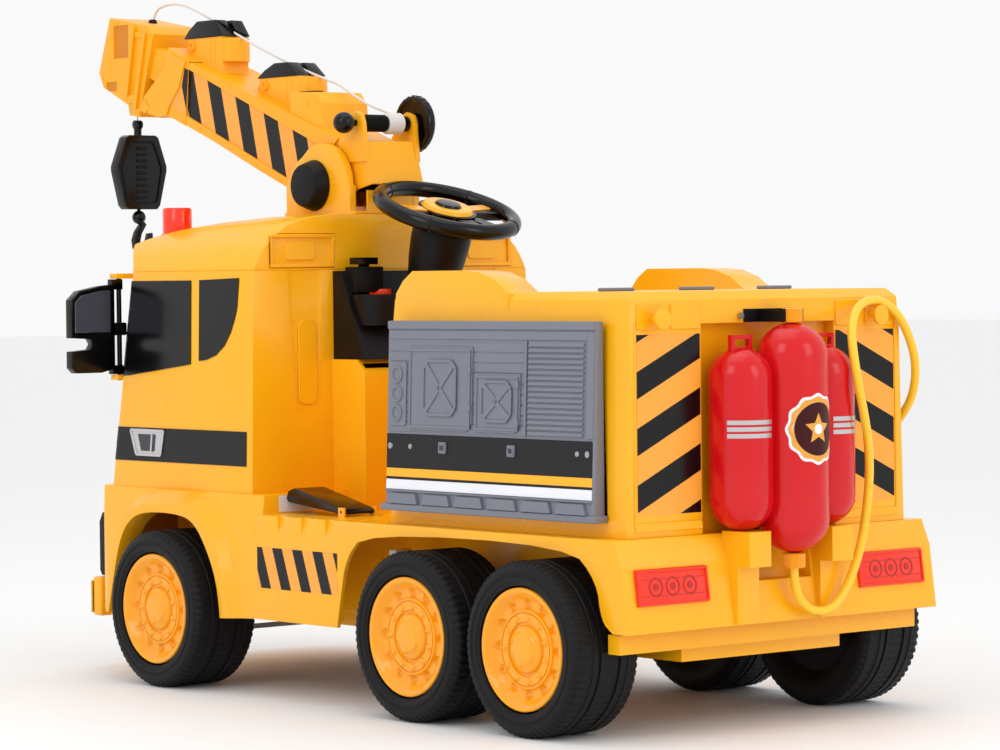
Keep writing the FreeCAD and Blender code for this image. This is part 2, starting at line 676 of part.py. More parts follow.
def drive_units():
    """Gearbox with its motor inside each rear wheel."""
    units = []
    for side in (-1, 1):
        y_low = 151 if side > 0 else -211
        case = box("gear_case", ("rear_axle - 34", y_low, 92), ("rear_axle + 40", y_low + 60, 160))
        round_case = cylinder("gear_round", 34, 60, ("rear_axle", y_low, "tyre_radius"), Y_AXIS)
        motor = cylinder("motor", 19, 76, ("rear_axle + 38", side * 181, 139), X_AXIS)
        body = joined("drive_unit", [case, round_case, motor])
        bore = cylinder("drive_bore", "axle_radius + running_gap", 80,
                        ("rear_axle", y_low - 5, "tyre_radius"), Y_AXIS)
        units.append(cut("drive_unit_bored", body, [bore]))
    node(group("drive_units", units))


def electrics():
    """Battery and control box inside the tub."""
    case = box("battery_case", (-60, -70, 165), (90, 70, 259))
    tabs = [box("battery_tab", (-68, y - 4, 236), (-59, y + 4, 248)) for y in (-40, 40)]
    node(joined("battery", [case] + tabs))
    board = box("control_case", (-260, -60, 226), (-170, 60, 259))
    lid = box("control_lid", (-254, -54, 220), (-176, 54, 227))
    node(joined("control_box", [board, lid]))


def screws():
    """Screws of the two side panels and of the bottle strap."""
    pieces = []
    for side in (-1, 1):
        for x in (-256, -681):
            pieces.append(cylinder("panel_screw", 4.5, 2.2, (x, side * 282.7, 384),
                                   V(0, side, 0.037)))
        pieces.append(cylinder("strap_screw", 4.5, 2.5, ("box_rear - 2.2", side * 54, 565.5),
                               -X_AXIS))
    node(group("screws", pieces))


def wheel_nodes():
    """Six blow-moulded wheels with a bore, and a snap-on yellow cap on each."""
    tyre = [(8, "axle_radius + running_gap"), (8, 24), (14, 30), (14, 70), (4, 84), (0, 98),
            (0, 108), (3, 115), (10, "tyre_radius"), (38, "tyre_radius"), (39, "tyre_radius - 3"),
            (42, "tyre_radius - 3"), (43, "tyre_radius"), (72, "tyre_radius"),
            (73, "tyre_radius - 3"), (76, "tyre_radius - 3"), (77, "tyre_radius"),
            ("tyre_width - 10", "tyre_radius"), ("tyre_width - 3", "tyre_radius - 5"),
            ("tyre_width", "tyre_radius - 12"), ("tyre_width", 92), ("tyre_width - 5", 84),
            ("tyre_width - 11", 84), ("tyre_width - 6", 93), ("tyre_width - 6", 106),
            ("tyre_width - 12", 113), (12, 113), (6, 106), (6, 99), (10, 87), (20, 72), (20, 28),
            (24, 22), (60, 22), (60, "axle_radius + running_gap")]
    cap = [("tyre_width - 10", "cap_radius"), ("tyre_width - 4", "cap_radius"),
           ("tyre_width - 3", 81), ("tyre_width - 6", 76), ("tyre_width - 18", 64),
           ("tyre_width - 18", 54), ("tyre_width - 12", 50), ("tyre_width - 12", 38),
           ("tyre_width - 17", 34), ("tyre_width - 14", 31), ("tyre_width - 8", 29),
           ("tyre_width - 5", 20), ("tyre_width - 4", 0), ("tyre_width - 9", 0),
           ("tyre_width - 10", 18), ("tyre_width - 13", 26), ("tyre_width - 22", 30),
           ("tyre_width - 22", 37), ("tyre_width - 17", 41), ("tyre_width - 17", 47),
           ("tyre_width - 23", 51), ("tyre_width - 23", 66), ("tyre_width - 11", 79)]
    inner_face = value("wheel_face") - value("tyre_width")
    for end, x in (("front", "front_axle"), ("middle", "middle_axle"), ("rear", "rear_axle")):
        for side, sign in (("left", 1), ("right", -1)):
            for kind, outline in (("tyre", tyre), ("wheel_cap", cap)):
                points = [(a if sign > 0 else negated(a), b) for a, b in outline]
                wheel = turned(f"{kind}_{end}_{side}", points, "YZ_Plane", "H_Axis")
                place = V(value(x), sign * inner_face, value("tyre_radius"))
                wheel.Placement = FreeCAD.Placement(place, FreeCAD.Rotation())
                node(wheel)


def steering_knuckles():
    """Kingpin with plates above and below its eye, the stub axle, its nut and the arm."""
    for side, sign in (("left", 1), ("right", -1)):
        y = f"{sign} * kingpin_offset"
        inner_face = value("wheel_face") - value("tyre_width")
        edge = sorted((sign * (value("kingpin_offset") - 9), sign * (inner_face + 6)))
        pieces = [cylinder("kingpin", "axle_radius", 54, ("front_axle", y, 92))]
        for low in (92.5, 140.8):
            pieces.append(box("knuckle_plate", ("front_axle - 10", edge[0], low),
                              ("front_axle + 10", edge[1], low + 6)))
        wall = sorted((sign * (inner_face - 0.4), sign * (inner_face + 6)))
        pieces.append(box("knuckle_wall", ("front_axle - 14", wall[0], 92.5),
                          ("front_axle + 14", wall[1], 146.8)))
        stub_start = sign * (inner_face + 3)
        pieces.append(cylinder("stub_axle", "axle_radius", 71, ("front_axle", stub_start,
                                                               "tyre_radius"), V(0, sign, 0)))
        pieces.append(hex_nut("front_axle", sign * inner_face + (60.6 if sign > 0 else -70.6)))
        pieces.append(box("steer_arm_bar", ("front_axle - steer_arm", f"{y} - 6", 92.5),
                          ("front_axle - 4", f"{y} + 6", 98.5)))
        pieces.append(cylinder("arm_pin", 3, 10, ("front_axle - steer_arm", y, 83)))
        pieces.append(cylinder("arm_end", 6, 6, ("front_axle - steer_arm", y, 92.5)))
        node(joined(f"knuckle_{side}", pieces))


def tie_rod():
    """Bar between the steering arms, with a slotted tab for the crank of the steering shaft."""
    bar = box("tie_bar", ("front_axle - steer_arm - 8", "-kingpin_offset - 9", 84.5),
              ("front_axle - steer_arm + 8", "kingpin_offset + 9", 90.5))
    tab = box("tie_tab", (160, -14, 84.5), ("front_axle - steer_arm", 14, 90.5))
    holes = [cylinder("tie_hole", 5.2, 20, ("front_axle - steer_arm", f"{side} * kingpin_offset",
                                           78)) for side in (-1, 1)]
    slot = box("tie_slot", (167, -4.6, 78), (188, 4.6, 98))
    node(cut("tie_rod", joined("tie_solid", [bar, tab]), holes + [slot]))


# ---------------------------------------------------------------- steering and controls

def steer_axis():
    tilt = math.radians(value("steer_tilt"))
    return V(-math.sin(tilt), 0, math.cos(tilt))


def shaft_point(depth):
    """Point on the steering axis this far below the steering wheel's centre."""
    centre = V(value("steer_x"), 0, value("steer_z"))
    point = centre - steer_axis() * depth
    return (point.x, point.y, point.z)


def local_to_wheel(item):
    """Place an object that was built around the origin on the steering axis."""
    centre = V(value("steer_x"), 0, value("steer_z"))
    item.Placement = FreeCAD.Placement(centre, FreeCAD.Rotation(Y_AXIS, -value("steer_tilt")))
    return item


def steering():
    """Steering wheel, its yellow hub plate, the horn button and the shaft with its crank."""
    ring = DOC.addObject("Part::Torus", "wheel_ring")
    drive(ring, "Radius1", "wheel_ring_radius")
    drive(ring, "Radius2", "wheel_tube_radius")
    hub = cone("wheel_hub", 30, 45, 26, (0, 0, -24))
    spokes = [box("spoke", (-14, -100, -12), (14, 100, 0)), box("low_spoke", (-98, -13, -12),
                                                              (0, 13, 0))]
    wheel = joined("wheel_blank", [ring, hub] + spokes)
    socket = cylinder("shaft_socket", "shaft_radius - 0.1", 30, (0, 0, -40))
    node(local_to_wheel(cut("steering_wheel", wheel, [socket])))
    plate = cone("plate_blank", 41, 37, 6, (0, 0, 2.2))
    well = cylinder("plate_well", 20.6, 8, (0, 0, 3.2))
    node(local_to_wheel(cut("steering_plate", plate, [well])))
    horn = [cone("horn_cap", 20, 18, 4, (0, 0, 7.8)), cylinder("horn_rim", 20, 1.2, (0, 0, 6.8))]
    node(local_to_wheel(joined("horn_button", horn)))
    shaft = cylinder("shaft_rod", "shaft_radius - 0.2", 636, (0, 0, -650))
    crank = box("shaft_crank", (-23, -7, -652), (10, 7, -645))
    pin = cylinder("shaft_pin", 3, 30, (-18, 0, -678))
    node(local_to_wheel(joined("steering_shaft", [shaft, crank, pin])))


def pedals():
    """Foot pedals: wedges that turn about their rear edge. The brake is on the left."""
    wedge = [(-88, 280), (-84, 275.5), (52, 289), (56, 294), (52, 305), (36, 310), (-82, 284)]
    for name, low, start in (("brake_pedal", -238.4, 180.6), ("accelerator_pedal", 184, -242.4)):
        pedal = padded(name + "_wedge", "XZ_Plane", wedge, 54.4, low, middle=False)
        pin = cylinder(name + "_pin", 2, 61.8, (PEDAL_PIVOT[0], start, PEDAL_PIVOT[1]), Y_AXIS)
        node(joined(name, [pedal, pin]))


def lever_and_switch():
    """Direction lever and the red rocker switch on the dash."""
    stem = box("lever_stem", (61, 73, 616), (67, 90, 643))
    grip = box("lever_grip", (54, 62, 642.5), (74, 101, 653))
    pivot = cylinder("lever_pivot", 3.5, 20, (64, 71.5, 616), Y_AXIS)
    node(joined("gear_lever", [stem, grip, pivot]))
    rocker = padded("rocker_blank", "XZ_Plane",
                    [(22.5, 593), (47.5, 593), (47.5, 600), (35, 599), (22.5, 605)], 22,
                    offset=-84, middle=False)
    pin = cylinder("rocker_pin", 2, 23.6, (35, 61.2, 597), Y_AXIS)
    node(joined("rocker_switch", [rocker, pin]))


def mirrors():
    """Mirror housings with a hinge rod, a window between rod and plate, and a notched edge."""
    x = "mirror_x"
    plate = padded("mirror_plate", "YZ_Plane",
                   [(275, 484), (300, 478), (347, 478), ("mirror_outer", 486),
                    ("mirror_outer", 512), (320, 515), (315, 523), (320, 531),
                    ("mirror_outer", 533), ("mirror_outer", 592), (340, 606), (300, 614),
                    (275, 616)], 16, f"{x} - 7", middle=False)
    rod = cylinder("mirror_rod", 4, 168, (x, "mirror_hinge", 465))
    arms = [box("mirror_arm", (f"{x} - 5", "mirror_hinge - 4", low),
                (f"{x} + 7", "mirror_hinge + 16", high))
            for low, high in ((475, 489), (540, 552), (608, 624))]
    solid = joined("mirror_solid", [plate, rod] + arms)
    seat = padded("mirror_seat", "YZ_Plane",
                  [(281, 540), (349, 540), (349, 588), (337, 600), (300, 607), (281, 608)], 3,
                  f"{x} - 8", middle=False)
    node(cut("mirror_left", solid, [seat]))
    node(mirrored("mirror_right", DOC.getObject("mirror_left")))


# ---------------------------------------------------------------- crane

def crane_base():
    """Two ears on the roof that carry the boom's lift pin, joined by a floor and a low wall."""
    ear = [(278, 710.8), (278, 770), (250, 803)]
    for angle in range(45, 181, 15):
        turn = math.radians(angle)
        ear.append((187 + 67 * math.cos(turn), 764 + 67 * math.sin(turn)))
    ear += [(115, 764), (115, 719.6), (205, 717.2)]
    pieces = []
    for side, offset in (("left", -68), ("right", 56)):
        pieces.append(padded(f"ear_{side}", "XZ_Plane", ear, 12, offset, middle=False))
    floor = [(101, 720.6), (283, 720.6), (283, 724.6), (101, 724.6)]
    pieces.append(padded("base_floor", "XZ_Plane", floor, 136))
    foot = [(101, 720.4), (205, 717.4), (283, 710.7), (283, 724), (101, 724)]
    for side, offset in (("left", -68), ("right", 50)):
        pieces.append(padded(f"base_foot_{side}", "XZ_Plane", foot, 18, offset, middle=False))
    pieces.append(box("base_wall", (101, -44, 722), (104.4, 44, 756.5)))
    bore = cylinder("lift_bore", "lift_pin_radius", 200, ("lift_x", -100, "lift_z"), Y_AXIS)
    node(cut("crane_base", joined("crane_base_solid", pieces), [bore]))
    rod = cylinder("lift_rod", "lift_pin_radius - 0.02", 140, ("lift_x", -70, "lift_z"), Y_AXIS)
    caps = [cone("lift_cap", 40.5, 32, 24, ("lift_x", side * 68.2, "lift_z"), V(0, side, 0))
            for side in (-1, 1)]
    node(joined("lift_pin", [rod] + caps))


def boom_outer():
    """Tapered hollow boom with its front collar, rope guides' blocks, housing and winch posts."""
    outline = [(81, 766), (103, 832), (163, 838), (600, 989.2), (617, 1003),
               (630, 970), (691, 926), (704, 903), (672, 895), (646, 889), (622, 891.5),
               (529, 857.5), (482, 839.5), (378, 797), (300, 766.5), (262, 752), (236, 735),
               (204, 728), (172, 735), (120, 758)]
    main = padded("boom_main", "XZ_Plane", outline, "2 * boom_half")
    collar = [(560, 977), (595, 992), (617, 1003), (630, 970), (691, 926), (704, 903),
              (672, 895), (646, 889), (622, 891.5), (572, 873.2)]
    pieces = [main, padded("boom_collar", "XZ_Plane", collar, 108)]
    housing = [(180, 830), (210, 850), (215, 895), (231, 913), (296, 915), (296, 870)]
    pieces.append(padded("winch_housing", "XZ_Plane", housing, 90))
    blocks = {"near": [(297, 870), (297, 942), (404, 942), (404, 900)],
              "far": [(505, 940), (505, 1016), (600, 1016), (600, 970)]}
    for name, block in blocks.items():
        pieces.append(padded(f"guide_block_{name}", "XZ_Plane", block, 52))
    for offset in (-54, 46):
        post = [(93, 800), (99, 860), (104, 873), (117, 878), (130, 873), (135, 862), (158, 836),
                (158, 800)]
        pieces.append(padded("winch_post", "XZ_Plane", post, 8, offset, middle=False))
    solid = joined("boom_solid", pieces)
    room = padded("boom_room", "XZ_Plane",
                  [(86, 690), (86, 764), (108, 822), (165, 832), (720, 1024), (720, 966),
                   (560, 893.5), (529, 865), (482, 847), (378, 804.5), (300, 774), (262, 759),
                   (240, 742), (190, 690)], "2 * boom_half - 2 * boom_wall")
    bores = [cylinder("boom_pivot_bore", "lift_pin_radius + running_gap - 0.02", 200,
                      ("lift_x", -100, "lift_z"), Y_AXIS),
             cylinder("winch_bore", "5 + running_gap", 200, ("winch_x", -100, "winch_z"), Y_AXIS)]
    drum_room = box("drum_room", (86, -46, 842), (162, 46, 900))
    node(cut("boom_outer", solid, [room, drum_room] + bores))


def rope_guides():
    """Black caps with a rope channel on the boom's two guide blocks."""
    caps = []
    outlines = {"near": [(297, 942.2), (410, 942.2), (388, 955), (362, 965), (326, 965)],
                "far": [(501, 1016.2), (612, 1016.2), (598, 1030), (574, 1044), (523, 1044)]}
    channels = {"near": [(290, 936), (350, 955.8), (420, 984), (420, 1010), (290, 960)],
                "far": [(480, 1008.2), (560, 1039.5), (640, 1068), (640, 1090), (480, 1030)]}
    for name, outline in outlines.items():
        cap = padded(f"guide_cap_{name}", "XZ_Plane", outline, 56)
        add_pocket(cap, "XZ_Plane", channels[name], 9)
        caps.append(cap)
    node(group("rope_guides", caps))


def boom_inner():
    """Telescopic section with the head: hollow, open below for the hoist rope."""
    tube = [(420.3, 903.4), (690, 1012.4), (709.4, 964.2), (439.7, 855.2)]
    head = [(667, 1028), (685, 1042), (795, 1062), (829, 972), (817, 947), (743, 914), (739, 897),
            (711, 893)]
    solid = joined("inner_solid", [padded("inner_tube", "XZ_Plane", tube, 84),
                                   padded("boom_head", "XZ_Plane", head, 100)])
    head_room = [(690, 1034), (790, 1055), (822, 972), (812, 952), (806, 880), (752, 880),
                 (745, 925), (718, 940)]
    room = padded("head_room", "XZ_Plane", head_room, 90)
    tube_room = padded("tube_room", "XZ_Plane",
                       [(400, 891.2), (690, 1008.4), (705, 966.5), (415, 849.3)], 78)
    windows = []
    for side in (-1, 1):
        low, high = sorted((side * 47.4, side * 51))
        windows.append(box("head_window", (741, low, 993), (785, high, 1048)))
        windows.append(box("head_slot", (777, low, 939), (808, high, 955)))
    rope_hole = cylinder("rope_hole", 3, 30, (741, 0, 1035))
    node(cut("boom_inner", solid, [room, tube_room, rope_hole] + windows))


def winch():
    """Drum with its shaft and ball knob, and the hand wheel on the other end."""
    axis_at = lambda y: ("winch_x", y, "winch_z")
    drum = cylinder("drum_barrel", "drum_radius", 90, axis_at(-45), Y_AXIS)
    shaft = cylinder("drum_shaft", 5, 142, axis_at(-64), Y_AXIS)
    knob = primitive("Part::Sphere", "drum_knob", {"Radius": 16.5}, axis_at(76))
    node(joined("winch_drum", [drum, shaft, knob]))
    disc = turned("hand_wheel_blank", [(5.05, 0), (12, 0), (14, 3), (34, 3), (38, 0), (43, 0),
                                       (44, 5), (44, 10), (41, 14), (36, 14), (34, 8), (14, 8),
                                       (12, 13), (5.05, 13)])
    disc.Placement = FreeCAD.Placement(V(value("winch_x"), -56.8, value("winch_z")),
                                       FreeCAD.Rotation(X_AXIS, 90))
    node_wheel = cylinder("hand_knob", 6, 20, (147, -70, 860), -Y_AXIS)
    node(joined("winch_wheel", [disc, node_wheel]))


def hook_parts():
    """Hoist rope, the ribbed hook block and the swivelling hook."""
    node(cylinder("hoist_rope", "hoist_rope_radius", 146.9, ("hook_x", 0, 885.6)))
    plate = padded("block_plate", "YZ_Plane",
                   [(-30, 741.5), (28, 741.5), (34, 748), (48, 806), (48, 814), (30, 862),
                    (24, 866), (-28, 866), (-34, 862), (-50, 814), (-50, 806), (-36, 748)], 22,
                   "hook_x")
    neck = cylinder("block_neck", 6.5, 21, ("hook_x", 0, 862))
    eye = cylinder("block_eye", 7.6, 12, ("hook_x", -6, 884), Y_AXIS)
    fork = cut("block_fork", joined("block_solid", [plate, neck, eye]),
               [box("rope_slot", ("hook_x - 9", -1.9, 877), ("hook_x + 9", 1.9, 893)),
                cylinder("swivel_socket", 3.05, 22, ("hook_x", 0, 738))])
    pin = cylinder("rope_pin", 1.5, 9, ("hook_x", -4.5, 884), Y_AXIS)
    node(joined("hook_block", [fork, pin]))
    node(shape_feature("hook", hook_shape()))


def hook_shape():
    """Round shank, eye and a flat tapering hook bent round an open throat."""
    x = value("hook_x")
    shank = Part.makeCylinder(3, 20, V(x, 0, 735), Z_AXIS)
    ball = Part.makeSphere(11.5, V(x, 0, 728))
    corners = [(-6, 722), (8, 704), (13, 690), (11, 676), (2, 666), (-10, 666), (-20, 674),
               (-25, 688), (-24, 702), (-17, 701), (-14, 690), (-9, 682), (-3, 681), (1, 688),
               (-2, 700), (-12, 716)]
    points = [V(x - 5, y, z) for y, z in corners]
    blade = Part.Face(Part.makePolygon(points + [points[0]])).extrude(V(10, 0, 0))
    return shank.fuse([ball, blade]).removeSplitter()


# ---------------------------------------------------------------- rope and hose

def smooth_path(points, factor=0.45, radii=None):
    """Straight runs joined by tangent arcs, each arc as large as its two runs allow."""
    edges = []
    start = points[0]
    for index in range(1, len(points) - 1):
        before = points[index] - points[index - 1]
        after = points[index + 1] - points[index]
        run = min(before.Length, after.Length)
        turn = before.getAngle(after)
        reach = factor * run
        radius = reach / math.tan(turn / 2)
        if radii is not None:
            radii.append(radius)
        enter = points[index] - V(before).normalize() * reach
        leave = points[index] + V(after).normalize() * reach
        toward = (V(after).normalize() - V(before).normalize()).normalize()
        centre = points[index] + toward * (radius / math.cos(turn / 2))
        middle = centre - toward * radius
        edges.append(Part.LineSegment(start, enter).toShape())
        edges.append(Part.Arc(enter, middle, leave).toShape())
        start = leave
    edges.append(Part.LineSegment(start, points[-1]).toShape())
    return Part.Wire(edges)


def tube_along(name, points, radius, show=False):
    """Round tube along a smooth path, with its volume compared with section times length."""
    radii = []
    path = smooth_path([V(*point) for point in points], radii=radii)
    first = path.Edges[0]
    start = first.valueAt(first.FirstParameter)
    circle = Part.makeCircle(radius, start, first.tangentAt(first.FirstParameter))
    solid = path.makePipeShell([Part.Wire(circle)], True, False, 2)
    expected = math.pi * radius ** 2 * path.Length
    if abs(solid.Volume / expected - 1) > 0.01:
        raise RuntimeError(f"{name}: volume {solid.Volume:.0f} is not {expected:.0f}")
    if show:
        smallest = min(radii)
        print(f"{name}: length {path.Length:.0f} mm, tightest radius {smallest:.1f} mm,",
              " ".join(f"{r:.0f}" for r in radii))
    return shape_feature(name, solid)


BOOM_ROPE = [(122, -20, 875.5), (165, -14, 889), (205, -8, 909), (231, -4, 925),
             (285, 0, 942), (350, 0, 962.5), (420, 0, 987.5), (490, 0, 1015), (560, 0, 1044),
             (606, 0, 1062), (650, 0, 1077), (693, 0, 1081), (728, 0, 1074), (741, 0, 1053)]

HOSE = [(-780, 0, 221.6), (-780, 0, 188.5), (-783, -27.5, 160.5), (-785, -66.5, 160.5),
        (-786, -96, 189), (-786, -122, 240), (-785, -136, 294), (-789, -138.5, 344),
        (-798, -127.5, 388), (-810, -107.5, 426), (-815.5, -91, 469), (-806.5, -91, 509),
        (-785.5, -108, 543), (-765, -137, 571), (-753, -172, 584), (-748, -205, 583),
        (-746, -237, 568), (-742, -267, 534), (-734, -290, 492), (-716, -303, 448),
        (-690, -304, 414), (-656, -304, 390), (-620, -304, 384), (-586, -304, 398),
        (-558, -304, 422)]


def ropes_and_hose():
    """Rope over the boom, and the yellow hose from the bottle to its nozzle."""
    node(tube_along("boom_rope", BOOM_ROPE, value("rope_radius"), show=True))
    node(tube_along("hose", HOSE, value("hose_radius"), show=True))
    end = V(*HOSE[-1])
    way = (end - V(*HOSE[-2])).normalize()
    grip = cylinder("nozzle_grip", 9, 26, tuple(end + way * 0.1), way)
    tip = cone("nozzle_tip", 7.5, 4.5, 34, tuple(end + way * 26), way)
    solid = joined("nozzle_solid", [grip, tip])
    bore = cylinder("nozzle_bore", 3, 30, tuple(end + way * 40), way)
    node(cut("hose_nozzle", solid, [bore]))


def main():
    fill_sheet()
    for make in (lower_body, cab_shell, cab_roof, front_trim, beacons, dash_console, seat_box,
                 side_panels, tail_lights, extinguishers, chassis_frame, axles, drive_units,
                 electrics, screws, wheel_nodes, steering_knuckles, tie_rod, steering, pedals,
                 lever_and_switch, mirrors, crane_base, boom_outer, rope_guides, boom_inner,
                 winch, hook_parts, ropes_and_hose):
        make()
    DOC.recompute()
    for item in DOC.Objects:
        if "Invalid" in item.State or "Error" in item.State:
            raise RuntimeError(f"{item.Name} ({item.Label}) failed: {item.State}")
    os.makedirs("parts", exist_ok=True)
    total = FreeCAD.BoundBox()
    for item in NODES:
        shape = item.Shape
        if shape.isNull() or not shape.isValid() or not shape.Solids:
            raise RuntimeError(f"{item.Label} has no valid solid")
        shape.exportStep(f"parts/{item.Label}.step")
        total.add(shape.BoundBox)
    print(f"{len(NODES)} nodes, X {total.XMin:.1f}..{total.XMax:.1f}, "
          f"Y {total.YMin:.1f}..{total.YMax:.1f}, Z {total.ZMin:.1f}..{total.ZMax:.1f}")


main()
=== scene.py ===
import json
import math

import bmesh
import bpy
from mathutils import Matrix, Vector


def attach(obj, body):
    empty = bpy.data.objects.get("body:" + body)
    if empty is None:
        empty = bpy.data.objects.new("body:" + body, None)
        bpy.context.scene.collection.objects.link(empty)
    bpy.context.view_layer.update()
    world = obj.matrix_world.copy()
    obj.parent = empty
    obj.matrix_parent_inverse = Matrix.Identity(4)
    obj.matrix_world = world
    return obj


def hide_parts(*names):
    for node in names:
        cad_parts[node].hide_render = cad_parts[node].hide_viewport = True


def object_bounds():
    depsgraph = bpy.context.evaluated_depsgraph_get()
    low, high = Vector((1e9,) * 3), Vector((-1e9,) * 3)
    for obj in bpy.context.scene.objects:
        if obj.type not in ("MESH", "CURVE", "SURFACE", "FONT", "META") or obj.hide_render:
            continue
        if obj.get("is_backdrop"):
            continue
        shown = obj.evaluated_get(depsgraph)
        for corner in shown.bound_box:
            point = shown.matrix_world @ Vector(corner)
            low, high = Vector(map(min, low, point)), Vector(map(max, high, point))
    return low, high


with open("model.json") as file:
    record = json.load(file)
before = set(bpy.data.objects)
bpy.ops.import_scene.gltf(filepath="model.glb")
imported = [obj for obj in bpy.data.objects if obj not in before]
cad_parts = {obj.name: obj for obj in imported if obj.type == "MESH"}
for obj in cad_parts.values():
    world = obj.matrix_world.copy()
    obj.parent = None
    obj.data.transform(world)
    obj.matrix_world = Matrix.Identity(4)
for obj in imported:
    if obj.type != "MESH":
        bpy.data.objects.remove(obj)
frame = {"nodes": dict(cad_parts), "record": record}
cad_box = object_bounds()
NODES = frame["nodes"]

# Outlines and places are in millimetres: X runs to the front of the truck, Y to its left and Z up
# from the floor. Bevel widths, cord sizes, lights and the camera are in metres, like the frame.
MM = 0.001
SIDES = (1, -1)
SUNK = -0.3         # how far a raised detail starts below the face it stands on

# ---- places


def mm(x, y, z):
    """Point of the frame, from millimetres."""
    return Vector((x, y, z)) * MM


def side_name(side):
    return "left" if side > 0 else "right"


def facing_side(side, y, x=0, z=0):
    """For details on an upright plane that faces sideways: a runs forward, b up and c outward."""
    def place(a, b, c):
        return mm(x + a, side * (y + c), z + b)
    return place


def facing_rear(x, side=1):
    """For details on an upright plane that faces the rear: a runs outward, b up and c backward."""
    def place(a, b, c):
        return mm(x - c, side * a, b)
    return place


def facing_up(x):
    """For details turned about an upright axis in the middle plane: c runs up."""
    def place(a, b, c):
        return mm(x + a, b, c)
    return place


def shifted(place, x, y, depth=0.0):
    """The same face with its origin moved."""
    def moved(a, b, c):
        return place(x + a, y + b, c + depth)
    return moved


# ---- outlines


def rectangle(low, high):
    """Upright rectangle between two corners."""
    return [(low[0], low[1]), (high[0], low[1]), (high[0], high[1]), (low[0], high[1])]


def cut_corners(low, high, cut):
    """Rectangle with its corners cut off."""
    return [(low[0] + cut, low[1]), (high[0] - cut, low[1]), (high[0], low[1] + cut),
            (high[0], high[1] - cut), (high[0] - cut, high[1]), (low[0] + cut, high[1]),
            (low[0], high[1] - cut), (low[0], low[1] + cut)]


def rounded(low, high, radius, steps=5):
    """Rectangle with rounded corners."""
    left, right, foot, top = (low[0] + radius, high[0] - radius, low[1] + radius,
                              high[1] - radius)
    points = []
    for x, y, start in ((right, top, 0), (left, top, 90), (left, foot, 180), (right, foot, 270)):
        for step in range(steps + 1):
            angle = math.radians(start + 90 * step / steps)
            points.append((x + radius * math.cos(angle), y + radius * math.sin(angle)))
    return points


def bar(p, q, width):
    """Straight bar between two points."""
    along = Vector((q[0] - p[0], q[1] - p[1])).normalized() * (width / 2)
    across = Vector((-along.y, along.x))
    return [(p[0] + across.x, p[1] + across.y), (p[0] - across.x, p[1] - across.y),
            (q[0] - across.x, q[1] - across.y), (q[0] + across.x, q[1] + across.y)]


def clip(polygon, reach):
    """Part of a polygon where reach(point), the distance past a line, isn't negative."""
    kept = []
    for index, q in enumerate(polygon):
        p = polygon[index - 1]
        past_p, past_q = reach(p), reach(q)
        if (past_p >= -1e-9) != (past_q >= -1e-9):
            t = past_p / (past_p - past_q)
            kept.append((p[0] + (q[0] - p[0]) * t, p[1] + (q[1] - p[1]) * t))
        if past_q >= -1e-9:
            kept.append(q)
    return kept


def clip_box(polygon, low, high):
    """Part of a polygon inside an upright rectangle."""
    for axis in (0, 1):
        for edge, sign in ((low[axis], 1), (high[axis], -1)):
            polygon = clip(polygon, lambda p: (p[axis] - edge) * sign)
    return polygon


def right_of(polygon, p, q):
    """Part of a polygon in front of the line from p down to q."""
    return clip(polygon, lambda a: (a[0] - p[0]) * (p[1] - q[1]) - (a[1] - p[1]) * (p[0] - q[0]))


# ---- meshes


